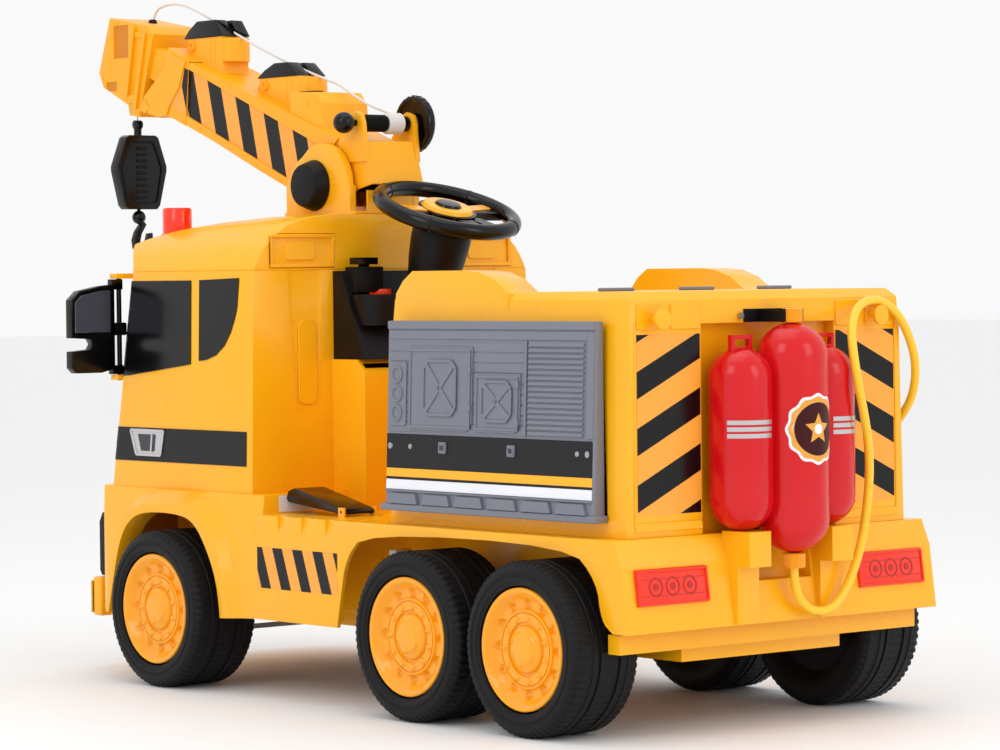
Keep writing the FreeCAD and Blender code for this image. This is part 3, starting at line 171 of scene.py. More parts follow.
class Shape:
    """Collects vertices and faces, each face with a material number."""

    def __init__(self):
        self.points = []
        self.faces = []
        self.numbers = []

    def add(self, points, faces, number=0):
        start = len(self.points)
        self.points += [Vector(p) for p in points]
        self.faces += [tuple(start + i for i in face) for face in faces]
        self.numbers += [number] * len(faces)

    def prism(self, outline, place, low, high, number=0):
        """Outline of (a, b) points, taken through place(a, b, c) from c = low to c = high."""
        count = len(outline)
        points = [place(a, b, low) for a, b in outline] + [place(a, b, high) for a, b in outline]
        faces = [tuple(range(count)), tuple(range(2 * count - 1, count - 1, -1))]
        faces += [(i, i + count, (i + 1) % count + count, (i + 1) % count) for i in range(count)]
        self.add(points, faces, number)

    def pad(self, low, high, place, c_low, c_high, number=0):
        """Upright rectangle between two corners, as a prism."""
        self.prism(rectangle(low, high), place, c_low, c_high, number)

    def bars(self, outline, width, place, low, high):
        """Closed run of straight bars along an outline."""
        for index, point in enumerate(outline):
            self.prism(bar(point, outline[(index + 1) % len(outline)], width), place, low, high)

    def square_frame(self, low, high, width, place, c_low, c_high):
        """Frame of four bars just inside a rectangle."""
        self.pad(low, (high[0], low[1] + width), place, c_low, c_high)
        self.pad((low[0], high[1] - width), high, place, c_low, c_high)
        for x in (low[0], high[0] - width):
            self.pad((x, low[1] + width), (x + width, high[1] - width), place, c_low, c_high)

    def stripe(self, band, place, low, high):
        """Dark stripe printed on a sticker, unless clipping has left nothing of it."""
        if len(band) > 2:
            self.prism(band, place, low, high, 1)

    def screw(self, place, radius=3.4, number=0):
        """Small screw head: a ring round a sunk middle."""
        self.lathe([(0, 0.2), (radius * 0.45, 0.2), (radius * 0.6, 0.9), (radius, 0.9),
                    (radius * 1.15, 0)], place, 20, number)

    def lathe(self, profile, place, steps=64, number=0, closed=False, wave=None):
        """Turn (radius, height) points about an axis; wave may move each before it is placed."""
        rows = []
        for index in range(steps):
            angle = 2 * math.pi * index / steps
            row = []
            for radius, height in profile:
                if wave:
                    radius, height = wave(radius, height, index, angle)
                row.append(place(radius * math.cos(angle), radius * math.sin(angle), height))
            rows.append(row)
        count = len(profile)
        faces = []
        for index in range(steps):
            here = index * count
            after = ((index + 1) % steps) * count
            for j in range(count if closed else count - 1):
                k = (j + 1) % count
                faces.append((here + j, after + j, after + k, here + k))
        self.add([p for row in rows for p in row], faces, number)

    def sheet(self, rows, number=0):
        """Grid of points as one surface."""
        count = len(rows[0])
        faces = []
        for i in range(len(rows) - 1):
            for j in range(count - 1):
                a = i * count + j
                faces.append((a, a + 1, a + count + 1, a + count))
        self.add([p for row in rows for p in row], faces, number)


def add_object(name, data):
    item = bpy.data.objects.new(name, data)
    bpy.context.scene.collection.objects.link(item)
    return item


def make(name, shape, materials, body, bevel=0.0, segments=2, angle=35):
    """Turn a Shape into an object that rides on a body."""
    mesh = bpy.data.meshes.new(name)
    mesh.from_pydata(shape.points, [], shape.faces)
    for material in materials:
        mesh.materials.append(material)
    for face, number in zip(mesh.polygons, shape.numbers):
        face.material_index = number
    work = bmesh.new()
    work.from_mesh(mesh)
    bmesh.ops.remove_doubles(work, verts=work.verts, dist=1e-6)
    bmesh.ops.recalc_face_normals(work, faces=work.faces)
    work.to_mesh(mesh)
    work.free()
    mesh.shade_smooth()
    mesh.set_sharp_from_angle(angle=math.radians(angle))
    item = add_object(name, mesh)
    if bevel:
        soften(item, bevel, segments, angle)
    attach(item, body)
    return item


def curve(name, points, radius, material, body):
    """Round cord along control points; the radius is in metres."""
    data = bpy.data.curves.new(name, "CURVE")
    data.dimensions = "3D"
    data.bevel_depth = radius
    data.bevel_resolution = 5
    data.use_fill_caps = True
    data.resolution_u = 10
    line = data.splines.new("NURBS")
    line.points.add(len(points) - 1)
    for point, target in zip(points, line.points):
        target.co = (*mm(*point), 1)
    line.order_u = 3
    line.use_endpoint_u = True
    data.materials.append(material)
    item = add_object(name, data)
    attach(item, body)
    return item


def soften(item, width, segments=3, angle=35):
    """Rounded edges."""
    bevel = item.modifiers.new("rounding", "BEVEL")
    bevel.width = width
    bevel.segments = segments
    bevel.limit_method = "ANGLE"
    bevel.angle_limit = math.radians(angle)
    bevel.harden_normals = False
    bevel.use_clamp_overlap = True


# ---- materials

CLOUD_SCALE, WAVE_SCALE = 9.0, 6.0


def linear(text):
    """Linear colour of a six-figure sRGB code."""
    values = [int(text[i:i + 2], 16) / 255 for i in (0, 2, 4)]
    return [v / 12.92 if v <= 0.04045 else ((v + 0.055) / 1.055) ** 2.4 for v in values] + [1.0]


def noise(tree, place, scale, detail=2.0):
    """Grey output of a noise texture in the object's own coordinates."""
    node = tree.nodes.new("ShaderNodeTexNoise")
    node.inputs["Scale"].default_value = scale
    node.inputs["Detail"].default_value = detail
    tree.links.new(place, node.inputs["Vector"])
    return node.outputs["Fac"]


def bump(tree, height, strength, distance, under=None):
    """Normal of a bump, over another bump's if one is given."""
    node = tree.nodes.new("ShaderNodeBump")
    node.inputs["Strength"].default_value = strength
    node.inputs["Distance"].default_value = distance
    tree.links.new(height, node.inputs["Height"])
    if under:
        tree.links.new(under, node.inputs["Normal"])
    return node.outputs["Normal"]


def plastic(name, code, rough=0.3, spread=0.06, grain=900.0, grain_depth=0.02, wave_depth=0.0,
            tint=0.05, coat=0.0, metal=0.0, level=0.4):
    """Moulded surface: faint clouding of colour and gloss, fine grain and long, low waves."""
    material = bpy.data.materials.new(name)
    material.use_nodes = True
    tree = material.node_tree
    shader = tree.nodes["Principled BSDF"]
    for socket, value in (("Metallic", metal), ("Coat Weight", coat), ("Coat Roughness", 0.08),
                          ("Specular IOR Level", level)):
        shader.inputs[socket].default_value = value
    place = tree.nodes.new("ShaderNodeTexCoord").outputs["Object"]
    cloud = noise(tree, place, CLOUD_SCALE, 4.0)
    colour = tree.nodes.new("ShaderNodeMix")
    colour.data_type = "RGBA"
    base = linear(code)[:3]
    colour.inputs["A"].default_value = [c * (1 - tint) for c in base] + [1]
    colour.inputs["B"].default_value = [min(1, c * (1 + tint)) for c in base] + [1]
    tree.links.new(cloud, colour.inputs["Factor"])
    tree.links.new(colour.outputs["Result"], shader.inputs["Base Color"])
    gloss = tree.nodes.new("ShaderNodeMapRange")
    gloss.inputs["To Min"].default_value = max(0.02, rough - spread)
    gloss.inputs["To Max"].default_value = rough + spread
    tree.links.new(cloud, gloss.inputs["Value"])
    tree.links.new(gloss.outputs["Result"], shader.inputs["Roughness"])
    normal = bump(tree, noise(tree, place, grain), grain_depth, 0.001)
    if wave_depth:
        normal = bump(tree, noise(tree, place, WAVE_SCALE, 1.0), wave_depth, 0.01, normal)
    tree.links.new(normal, shader.inputs["Normal"])
    return material


YELLOW = plastic("yellow_plastic", "FFB40F", rough=0.27, wave_depth=0.05, coat=0.15)
CAP_YELLOW = plastic("cap_plastic", "FCA70C", rough=0.17, coat=0.25)
BOOM_YELLOW = plastic("boom_plastic", "FAAD0C", rough=0.38, grain_depth=0.05)
ORANGE = plastic("sticker_orange", "F9A93C", rough=0.35, grain_depth=0.01)
DARK = plastic("sticker_dark", "1E1D20", level=0.2, rough=0.35, grain_depth=0.01)
PALE = plastic("sticker_white", "ECEDF4", rough=0.4, grain_depth=0.01)
BLACK = plastic("black_gloss", "060607", rough=0.2, coat=0.1, level=0.25)
SATIN = plastic("black_satin", "0A0A0B", rough=0.45, grain_depth=0.06, level=0.2)
GREY = plastic("grey_panel", "777A85", rough=0.33, grain_depth=0.04)
GREY_DARK = plastic("grey_groove", "3B3D45", rough=0.5)
RED = plastic("red_gloss", "D20C16", rough=0.22, coat=0.2, wave_depth=0.03, level=0.3)
LAMP = plastic("lamp_red", "F42E08", rough=0.14, coat=0.35)
LAMP_DEEP = plastic("lamp_deep", "B81404", rough=0.2, coat=0.4)
CHROME = plastic("chrome", "E6E7EA", rough=0.08, metal=1.0)
STEEL = plastic("zinc_steel", "A9ABAF", rough=0.35, metal=1.0, grain_depth=0.06)
TYRE = plastic("tyre_black", "101012", level=0.2, rough=0.5, grain_depth=0.12, tint=0.12)
ROPE = plastic("white_rope", "DCD8D4", rough=0.8, grain=400.0, grain_depth=0.3)
HOSE = plastic("hose_yellow", "FFC928", rough=0.28, coat=0.2)
GLASS = plastic("mirror_glass", "A9ABBD", rough=0.06, metal=0.9)
GOLD = plastic("gold_print", "E8A23A", rough=0.35)
MAROON = plastic("maroon_print", "3E080E", rough=0.4, level=0.2)
# Darker orange that paints the shade deep inside the boom head's recessed windows.
BOOM_RECESS_SHADE = plastic("boom_recess_painted_shade", "D98204", rough=0.5)
SILVER = plastic("silver_tape", "C9C6C8", rough=0.25, metal=0.6)

# ---- camera, lights, floor

CAMERA_PLACE = (-4.3207, 3.4566, 0.6244)
HEADING, PITCH, ROLL = -39.712, -1.579, -0.637      # degrees; heading from +X, pitch above level

camera = add_object("camera", bpy.data.cameras.new("camera"))
camera.data.lens = 130.86
camera.data.sensor_width = 36
camera.data.clip_end = 50
camera.matrix_world = (Matrix.Translation(CAMERA_PLACE)
                       @ Matrix.Rotation(math.radians(HEADING - 90), 4, "Z")
                       @ Matrix.Rotation(math.radians(PITCH + 90), 4, "X")
                       @ Matrix.Rotation(math.radians(ROLL), 4, "Z"))
bpy.context.scene.camera = camera

world = bpy.data.worlds.new("studio")
bpy.context.scene.world = world
world.use_nodes = True
sky = world.node_tree.nodes["Background"]
sky.inputs["Color"].default_value = (1, 1, 1, 1)
sky.inputs["Strength"].default_value = 0.95
bpy.context.scene.view_settings.view_transform = "Standard"


def lamp(name, place, target, size, power):
    light = bpy.data.lights.new(name, "AREA")
    light.shape = "RECTANGLE"
    light.size, light.size_y = size
    light.energy = power
    item = add_object(name, light)
    item.location = place
    item.rotation_euler = (Vector(target) - Vector(place)).to_track_quat("-Z", "Y").to_euler()


lamp("key", (-1.2, 3.6, 2.6), (-0.1, 0.2, 0.4), (1.6, 2.2), 26)
lamp("rear", (-3.6, -0.6, 1.8), (-0.6, 0, 0.4), (1.2, 2.0), 16)
lamp("top", (-0.2, 0.3, 3.4), (0, 0, 0.4), (2.4, 2.4), 16)

floor_mesh = bpy.data.meshes.new("floor")
floor_mesh.from_pydata([(-30, -30, 0), (30, -30, 0), (30, 30, 0), (-30, 30, 0)], [], [(0, 1, 2, 3)])
floor = add_object("floor", floor_mesh)
floor_mesh.materials.append(plastic("floor_white", "F6F6F6", rough=0.7, tint=0.01))
floor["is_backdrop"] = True

# ---- hose

HOSE_ROUTE = [(-780, 0, 221.6), (-780, 0, 188.5), (-783, -27.5, 160.5), (-785, -66.5, 160.5),
              (-786, -96, 189), (-786, -122, 240), (-785, -136, 294), (-789, -138.5, 344),
              (-798, -127.5, 388), (-810, -107.5, 426), (-815.5, -91, 469), (-806.5, -91, 509),
              (-785.5, -108, 543), (-765, -137, 571), (-753, -172, 584), (-748, -205, 583),
              (-746, -237, 568), (-742, -267, 534), (-734, -290, 492), (-716, -303, 448),
              (-690, -304, 414), (-656, -304, 390), (-620, -304, 384), (-586, -304, 398),
              (-558, -304, 422)]

hose = curve("hose_line", HOSE_ROUTE, 0.00625, HOSE, "truck")
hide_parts("hose")

# ---- CAD nodes

SLOT_MATERIALS = {"yellow_body": YELLOW, "cap_yellow": CAP_YELLOW, "black_gloss": BLACK,
                  "black_matte": SATIN, "grey_panel": GREY, "red_gloss": RED, "lamp_red": LAMP,
                  "chrome": CHROME, "tyre_black": TYRE, "steel": STEEL, "rope": ROPE,
                  "hose_yellow": HOSE}
NODE_MATERIALS = {"boom_outer": BOOM_YELLOW, "boom_inner": BOOM_YELLOW, "crane_base": YELLOW}
ROUNDED_NODES = {
    0.001: ("bumper_trim", "rocker_switch", "beacons", "extinguisher_caps", "winch_wheel",
            "steering_plate", "horn_button"),
    0.0015: ("extinguishers",),
    0.002: ("front_grille", "chassis_frame", "brake_pedal", "accelerator_pedal", "gear_lever",
            "tail_lights", "rope_guides", "hook_block", "steering_wheel"),
    0.003: ("side_panel_left", "side_panel_right", "boom_outer", "mirror_left", "mirror_right",
            "dash_console", "lift_pin", "hook"),
    0.004: ("boom_inner", "crane_base", "front_bumper"),
    0.006: ("lower_body",), 0.008: ("seat_box",), 0.009: ("cab_shell",), 0.012: ("cab_roof",)}
ROUNDING = {node: width for width, nodes in ROUNDED_NODES.items() for node in nodes}


def finish_node(entry):
    """Material, rounded edges and smooth faces for one CAD part."""
    name = entry["node"]
    item = NODES[name]
    item.data.materials.clear()
    item.data.materials.append(NODE_MATERIALS.get(name, SLOT_MATERIALS[entry["material_slot"]]))
    weld = item.modifiers.new("weld", "WELD")
    weld.merge_threshold = 1e-5
    if name in ROUNDING:
        flat = item.modifiers.new("flat", "DECIMATE")
        flat.decimate_type = "DISSOLVE"
        flat.angle_limit = math.radians(0.4)
        soften(item, ROUNDING[name])
    split = item.modifiers.new("split", "EDGE_SPLIT")
    split.split_angle = math.radians(34)
    for face in item.data.polygons:
        face.use_smooth = True


# ---- side panels

PANEL_REAR, PANEL_FRONT = -691, -246
PANEL_FOOT, PANEL_HEIGHT, PANEL_LEAN, PANEL_OUT = 292.5, 268.5, 10, 286
DOOR_FOOT = 405                 # lower edge of the doors and the shutter
SHUTTER_REAR, SHUTTER_FRONT = -674, -555
BAND_REAR, BAND_FRONT = -690, -247
PRINT = 0.9                     # thickness of the printed bands


def panel_face(side):
    """The leaning outer face of a grey panel: a runs forward, b up and c outward."""
    def place(a, b, c):
        out = PANEL_OUT - PANEL_LEAN * (b - PANEL_FOOT) / PANEL_HEIGHT + c
        return mm(a, side * out, b)
    return place


def panel_frame(relief, place):
    """Nine boards behind the doors, and the raised edges round the panel."""
    for index in range(9):
        rise = 14.2 * index
        relief.pad((-548, DOOR_FOOT + rise), (-250, 417.4 + rise), place, SUNK, 0.9)
    for low, high, top in (((PANEL_REAR, 549.5), (PANEL_FRONT, 560.5), 2.2),
                           ((-676, 535.5), (-248, 547.4), 1.4),
                           ((PANEL_REAR, DOOR_FOOT), (-677, 547), 2.2),
                           ((-554, DOOR_FOOT), (-549.5, 534), 3.4)):
        relief.pad(low, high, place, SUNK, top)


def panel_buttons(relief, place):
    relief.prism(rounded((-291, 413), (-252, 503), 3), place, 0.2, 3)
    for height in (431, 458, 485):
        relief.lathe([(0, 3.6), (5.5, 3.8), (7, 3.4), (8, 3.2), (8.8, 5.4), (10.8, 5.6),
                      (11.8, 5), (12.2, 2.8)], shifted(place, -271.5, height), 40)


def panel_door(relief, place, low, high, mark_low, mark_high):
    """Door with a raised edge, a crossed eight-sided mark and two hinges."""
    relief.prism([(low[0] + 12, low[1]), *rectangle(low, high)[1:], (low[0], low[1] + 12)],
                 place, 0.2, 3.2)
    relief.square_frame((low[0] + 3, low[1] + 3), (high[0] - 3, high[1] - 3), 3.2, place, 3, 4.6)
    mark = cut_corners(mark_low, mark_high, 10)
    relief.prism(mark, place, 3, 4.4)
    relief.bars(mark, 4, place, 4.2, 6.4)
    low_left, low_right, high_right, high_left = rectangle(
        (mark_low[0] + 6, mark_low[1] + 6), (mark_high[0] - 6, mark_high[1] - 6))
    relief.prism(bar(low_left, high_right, 7), place, 4.2, 6.2)
    relief.prism(bar(high_left, low_right, 7), place, 4.2, 6.2)
    middle = (low[1] + high[1]) / 2
    for y in (middle - 26, middle + 26):
        relief.prism(rounded((low[0] + 0.5, y - 5), (low[0] + 8, y + 5), 1.5), place, 3, 6.4)


def panel_shutter(relief, place):
    relief.pad((SHUTTER_REAR, DOOR_FOOT), (SHUTTER_FRONT, 535), place, SUNK, 0.6)
    for index in range(17):
        low = 407 + 7.5 * index
        relief.prism([(low, 0.4), (low + 5.6, 0.4), (low + 5.2, 1.6), (low + 1, 3.6), (low, 3.4)],
                     lambda b, c, a: place(a, b, c), SHUTTER_REAR + 3, SHUTTER_FRONT - 2)


def panel_foot(relief, place):
    relief.pad((PANEL_REAR, 319.6), (PANEL_FRONT, 322), place, SUNK, 3)
    for index in range(6):
        left = -682 + 72 * index
        relief.prism([(left, 303), (left + 62, 303), (left + 57, 317.5), (left + 5, 317.5)],
                     place, SUNK, 5.5)


def panel_latches(relief, place):
    for x in (-523, -374):
        relief.prism(rounded((x - 8, 376), (x + 8, 392), 2), place, 0.6, 3.4)
        relief.square_frame((x - 6, 378), (x + 6, 390), 2, place, 3.2, 4.4)
        relief.prism(rounded((x - 2.5, 381), (x + 2.5, 387), 1), place, 3.2, 5, 1)


def panel_bands(side):
    """Four printed bands and three screws."""
    place = panel_face(side)
    bands = Shape()
    for low, high, number in ((353, 401.5, 0), (340.6, 352.8, 1), (323, 337, 2), (337.2, 340.4, 0)):
        bands.pad((BAND_REAR, low), (BAND_FRONT, high), place, 0, PRINT, number)
    for x in (-659, -300, -257):
        bands.screw(shifted(place, x, 384, PRINT), number=3)
    make(f"panel_bands_{side_name(side)}", bands, [DARK, YELLOW, PALE, STEEL], "truck",
         bevel=0.0003, segments=1)


def side_panel(side):
    """Relief and print of the grey equipment panel."""
    place = panel_face(side)
    relief = Shape()
    panel_frame(relief, place)
    panel_buttons(relief, place)
    panel_door(relief, place, (-438, 408), (-297, 525), (-404, 430), (-333, 505))
    panel_door(relief, place, (-541, 408), (-444, 489), (-524, 424), (-461, 478))
    panel_shutter(relief, place)
    panel_foot(relief, place)
    panel_latches(relief, place)
    make(f"panel_relief_{side_name(side)}", relief, [GREY, GREY_DARK], "truck",
         bevel=0.0006)
    panel_bands(side)


# ---- stickers on the body

STICKER = 0.35                  # thickness of a sticker, and then of the stripes over it
STRIPE = (0.3, 0.6)
BOX_REAR = -734
STICKER_IN, STICKER_OUT = 128, 243
SKIRT_OUT = 292


def rear_sticker(side):
    """Warning stripes on the rear of the equipment box, rising towards the middle."""
    place = facing_rear(BOX_REAR, side)
    sheet = Shape()
    sheet.prism(rounded((STICKER_IN, 302), (STICKER_OUT, 543), 7), place, 0, STICKER)
    for index in range(5):
        low = 532.3 - 75.3 * index
        band = [(STICKER_OUT, low), (STICKER_OUT, low + 36), (STICKER_IN, low + 89),
                (STICKER_IN, low + 53)]
        sheet.stripe(clip_box(band, (128.4, 302.4), (242.6, 542.6)), place, *STRIPE)
    make(f"rear_sticker_{side_name(side)}", sheet, [ORANGE, BLACK], "truck")


def rear_pads(side):
    """Raised pads and edges moulded round the rear sticker."""
    place = facing_rear(BOX_REAR, side)
    pads = Shape()
    pads.prism(rounded((STICKER_IN, 549), (182, 585), 4), place, -0.5, 2.4)
    pads.prism(rounded((187, 549), (STICKER_OUT, 585), 4), place, -0.5, 2.4)
    pads.prism([(245.5, 286), (249, 286), (247, 560), (243.8, 560)], place, -0.5, 1.6)
    pads.prism([(126, 280), (248, 280), (246, 292), (STICKER_IN, 292)], place, -0.5, 2)
    make(f"rear_pads_{side_name(side)}", pads, [YELLOW], "truck", bevel=0.0012)


def skirt_sticker(side):
    """Warning stripes on the skirt between the wheels."""
    place = facing_side(side, SKIRT_OUT)
    sheet = Shape()
    sheet.prism(clip_box([(-150, 150), (59, 150), (59, 226), (-126, 226), (-141, 165)],
                         (-141, 164), (58, 225)), place, 0, STICKER)
    for index in range(5):
        front = 70 - 49.5 * index
        band = [(front, 225), (front - 24, 225), (front - 46, 164), (front - 22, 164)]
        rear = -138 if index > 3 else -141
        sheet.stripe(clip_box(band, (rear, 164.3), (58, 224.7)), place, *STRIPE)
    make(f"skirt_sticker_{side_name(side)}", sheet, [ORANGE, DARK], "truck")


# ---- stickers on the cab

# Plan of the upper cab's left half, from its rear corner to the middle of its front, at two heights
CAB_REAR, PLAN_LOW, PLAN_HIGH = 95, 300, 635
SEAM_PLAN = [(CAB_REAR, 273), (465, 275), (500, 245), (527, 200), (543, 105), (548, 0)]
ROOF_PLAN = [(CAB_REAR, 266), (415, 266), (448, 243), (474, 207), (490, 110), (497, 0)]
WINDSCREEN_MIDDLE = 764.5       # run along the cab at which both sides' stickers meet


def cab_point(x, z, side, out):
    """Point on the upper cab: x runs along its side and on round the front corner."""
    t = (z - PLAN_LOW) / (PLAN_HIGH - PLAN_LOW)
    plan = [Vector((a[0] + (b[0] - a[0]) * t, a[1] + (b[1] - a[1]) * t))
            for a, b in zip(SEAM_PLAN, ROOF_PLAN)]
    left = x - CAB_REAR
    for start, end in zip(plan, plan[1:]):
        run = (end - start).length
        if left <= run or end == plan[-1]:
            spot = start + (end - start) * (left / run)
            normal = Vector((-(end - start).y, (end - start).x)).normalized()
            if normal.y < 0:
                normal = -normal
            spot += normal * out
            return mm(spot.x, side * spot.y, z)
        left -= run


def cab_sheet(shape, side, low_edge, high_edge, x_start, x_end):
    """Sticker between two edges that are heights along the cab's side."""
    count = int((x_end - x_start) / 4)
    layers = []
    for layer in (1.3, 0):
        rows = []
        for index in range(count + 1):
            x = x_start + (x_end - x_start) * index / count
            low, high = low_edge(x), high_edge(x)
            rows.append([cab_point(x, low + (high - low) * k / 6, side, layer)
                         for k in range(7)])
        layers.append(rows)
    top, under = layers
    shape.sheet(top)
    for end in (0, -1):
        shape.sheet([top[end], under[end]])
    for end in (0, -1):
        shape.sheet([[row[end] for row in top], [row[end] for row in under]])


def between(points):
    """Height of a line through given points."""
    def height(x):
        for (x0, z0), (x1, z1) in zip(points, points[1:]):
            if x <= x1 or (x1, z1) == points[-1]:
                return z0 + (z1 - z0) * min(1, max(0, (x - x0) / (x1 - x0)))
    return height


def windows(side):
    """Dark side window with its share of the windscreen, and the curved rear window."""
    panes = Shape()
    cab_sheet(panes, side, between([(255, 493), (271, 491), (420, 474), (475, 470), (760, 470)]),
              between([(255, 621), (760, 621)]), 256, WINDSCREEN_MIDDLE)
    cab_sheet(panes, side, between([(131, 618), (135, 580), (141, 562), (152, 541), (167, 522),
                                    (190, 507), (215, 500), (235, 498)]),
              between([(131, 624), (225, 621.5), (235, 621.5)]), 131, 234)
    make(f"windows_{side_name(side)}", panes, [BLACK], "truck", angle=50)


def belt(side):
    band = Shape()
    cab_sheet(band, side, lambda x: 341, lambda x: 393, 110, WINDSCREEN_MIDDLE)
    make(f"belt_{side_name(side)}", band, [DARK], "truck", angle=50)


def marker(side):
    """Tapering marker lamp on the belt, with one slanting bar."""
    def place(a, b, c):
        return cab_point(a, b, side, c)

    outer = [(325, 389), (415, 389), (399, 351), (333, 351)]
    lamp_shape = Shape()
    lamp_shape.prism(outer, place, 0.6, 1.8)
    lamp_shape.bars(outer, 4, place, 1.6, 3.4)
    lamp_shape.prism([(347, 383), (395, 383), (386, 357), (350, 357)], place, 1.6, 2.6, 1)
    lamp_shape.prism(bar((358, 356), (355, 384), 4), place, 2.4, 4)
    make(f"marker_{side_name(side)}", lamp_shape, [SILVER, GREY_DARK], "truck",
         bevel=0.0005)


# ---- crane

BOOM_OUT = 50                   # from the middle to the side faces of the boom and its head
BOOM_STRIPE = (0.3, 0.7)
COLLAR_STEP = 4                 # the collar stands out from the boom's side by this
COLLAR_EDGE = ((560, 977), (572, 873.2))


def boom_top(x):
    return 842 + 0.385 * (x - 245)


def boom_bottom(x):
    return 781 + 0.402 * (x - 300)


def boom_sticker(side):
    """Striped sticker, which goes on over the raised collar at the boom's front end."""
    place = facing_side(side, BOOM_OUT)
    on_collar = facing_side(side, BOOM_OUT + COLLAR_STEP)
    sheet = Shape()
    panel = [(572, boom_top(572)), (586, 936), (614, boom_bottom(614)), (302, boom_bottom(302)),
             (262, 769), (222, 790), (204, boom_top(204))]
    sheet.prism(panel, place, 0, 0.4)
    sheet.prism(right_of(panel, *COLLAR_EDGE), on_collar, 0, 0.4)
    for index in range(5):
        x = 590 - 76.6 * index
        low_x = x - 22
        band = [(x, boom_top(x) - 0.4), (x - 37, boom_top(x - 37) - 0.4),
                (low_x - 37, boom_bottom(low_x - 37) + 0.4), (low_x, boom_bottom(low_x) + 0.4)]
        if index == 0:
            band = [(571, boom_top(571) - 0.4), *band[1:3], (565, boom_bottom(565) + 0.4),
                    (580, 938)]
        sheet.stripe(band, place, *BOOM_STRIPE)
        sheet.stripe(right_of(band, *COLLAR_EDGE), on_collar, *BOOM_STRIPE)
    make(f"boom_sticker_{side_name(side)}", sheet, [ORANGE, DARK], "boom")


def boom_rails(side):
    """Raised edges above and below the sticker, and the collar's stepped rim."""
    place = facing_side(side, BOOM_OUT)
    rails = Shape()
    rails.prism([(163, 838), (598, 988.5), (591, 977), (574, boom_top(574)), (204, boom_top(204)),
                 (186, 815)], place, -0.5, 3.2)
    rails.prism([(264, 753), (300, 767), (378, 797.4), (482, 840), (529, 858), (622, 892),
                 (614, boom_bottom(614)), (302, boom_bottom(302)), (262, 769)], place, -0.5, 3.2)
    rails.prism([(600, 989), (617, 941), (667, 913), (678, 899), (646, 890), (622, 892),
                 (614, boom_bottom(614)), (586, 936), (572, boom_top(572)), (566, 978)],
                place, 3.8, 7)
    rails.prism([(600, 989), (608, 996), (622, 972), (618, 966), (684, 926), (678, 899),
                 (667, 913), (617, 941)], place, 3.8, 5.4)
    rails.prism([(686, 921), (698, 903), (684, 898), (672, 906)], place, 3.8, 7)
    for x, z in ((529, 865.5), (377, 804)):
        rails.screw(shifted(place, x, z, 3.1))
    make(f"boom_rails_{side_name(side)}", rails, [BOOM_YELLOW], "boom",
         bevel=0.001)


def head_flanges(side):
    """Two slanting flanges, screws and window floors on the sliding head; the floors' darker orange
    is painted shade in the recessed windows.
    """
    place = facing_side(side, BOOM_OUT)
    head = Shape()
    for outline, height in (([(716, 1041), (722, 1044), (748, 931), (740, 927)], 5),
                            ([(684, 1030), (690, 1031), (724, 912), (715, 906)], 5),
                            ([(684, 1022), (692, 1031), (722, 1036), (720, 1026)], 2.4),
                            ([(722, 918), (738, 916), (742, 930), (724, 930)], 2.4)):
        head.prism(outline, place, -0.5, height)
    for x, z in ((777, 1051), (819, 963), (702, 1024), (732, 930)):
        head.screw(shifted(place, x, z), 3.6)
    # Window floors in the darker orange, sunk in the pockets: painted shade of the recesses.
    for low, high in (((742, 994), (784, 1047)), ((778, 940), (807, 954))):
        head.pad(low, high, place, -2.7, -2.3, 1)
    make(f"head_flanges_{side_name(side)}", head, [BOOM_YELLOW, BOOM_RECESS_SHADE], "boom_slide",
         bevel=0.001)


def boom_bosses():
    """Ring bosses on the guide blocks and a screw on the winch housing."""
    bosses = Shape()
    for side in SIDES:
        for x, z in ((388, 931), (588, 1004)):
            bosses.lathe([(0, 1), (4, 1), (5, 3.5), (8, 3.5), (9, 0)],
                         facing_side(side, 26, x, z), 28)
        bosses.screw(facing_side(side, 45, 251, 897), 3.6)
    make("boom_bosses", bosses, [BOOM_YELLOW], "boom")


def guide_blocks():
    """Round rear ends, front steps, ribs and bosses on the two rope guide blocks."""
    blocks = Shape()
    for rear, front, low, high in ((505, 600, 975, 1013), (297, 404, 905, 939)):
        rounded_end = [(rear + 1, 25.5)]
        for step in range(13):
            angle = math.radians(90 + 15 * step)
            rounded_end.append((rear + 19 * math.cos(angle), 25.5 * math.sin(angle)))
        blocks.prism(rounded_end, mm, low, high)
        blocks.prism(rounded((front - 2, -13), (front + 26, 13), 9), mm, low + 12, high - 4)
        blocks.prism(rounded((front - 2, -18), (front + 12, 18), 6), mm, low + 4, high - 1)
        for x in (rear + 21, rear + 33):
            blocks.pad((x - 1, -27), (x + 1, 27), mm, low, high + 2)
        blocks.lathe([(0, 6), (3, 6), (3.6, 9), (7, 9), (8, 5)],
                     facing_side(1, 9, front + 10, high - 16), 24)
    blocks.prism([(296, 872), (340, 889), (340, 900), (318, 914), (296, 914)],
                 facing_side(1, 0), -20, 20)
    make("guide_block_relief", blocks, [BOOM_YELLOW], "boom", bevel=0.003,
         segments=3)


def housing_slot_shade():
    # Black pad on top of the winch housing that paints the shade inside the rope's slot.
    slot = Shape()
    slot.pad((246, 18), (284, 34), mm, 913.5, 916)
    make("housing_slot_shade", slot, [SATIN], "boom")


def rope_grommet():
    """Black ring round the boom rope's hole in the head."""
    grommet = Shape()
    grommet.lathe([(2.4, 1051), (7.5, 1051), (7, 1056), (4.6, 1058), (2.4, 1057.6)],
                  facing_up(741), 32, closed=True)
    make("rope_grommet", grommet, [SATIN], "boom_slide", angle=50)


# ---- winch and hook block

WINCH_X, WINCH_Z = 117, 860
DRUM_RADIUS = 12.1
BLOCK_X, BLOCK_HALF = 790, 11


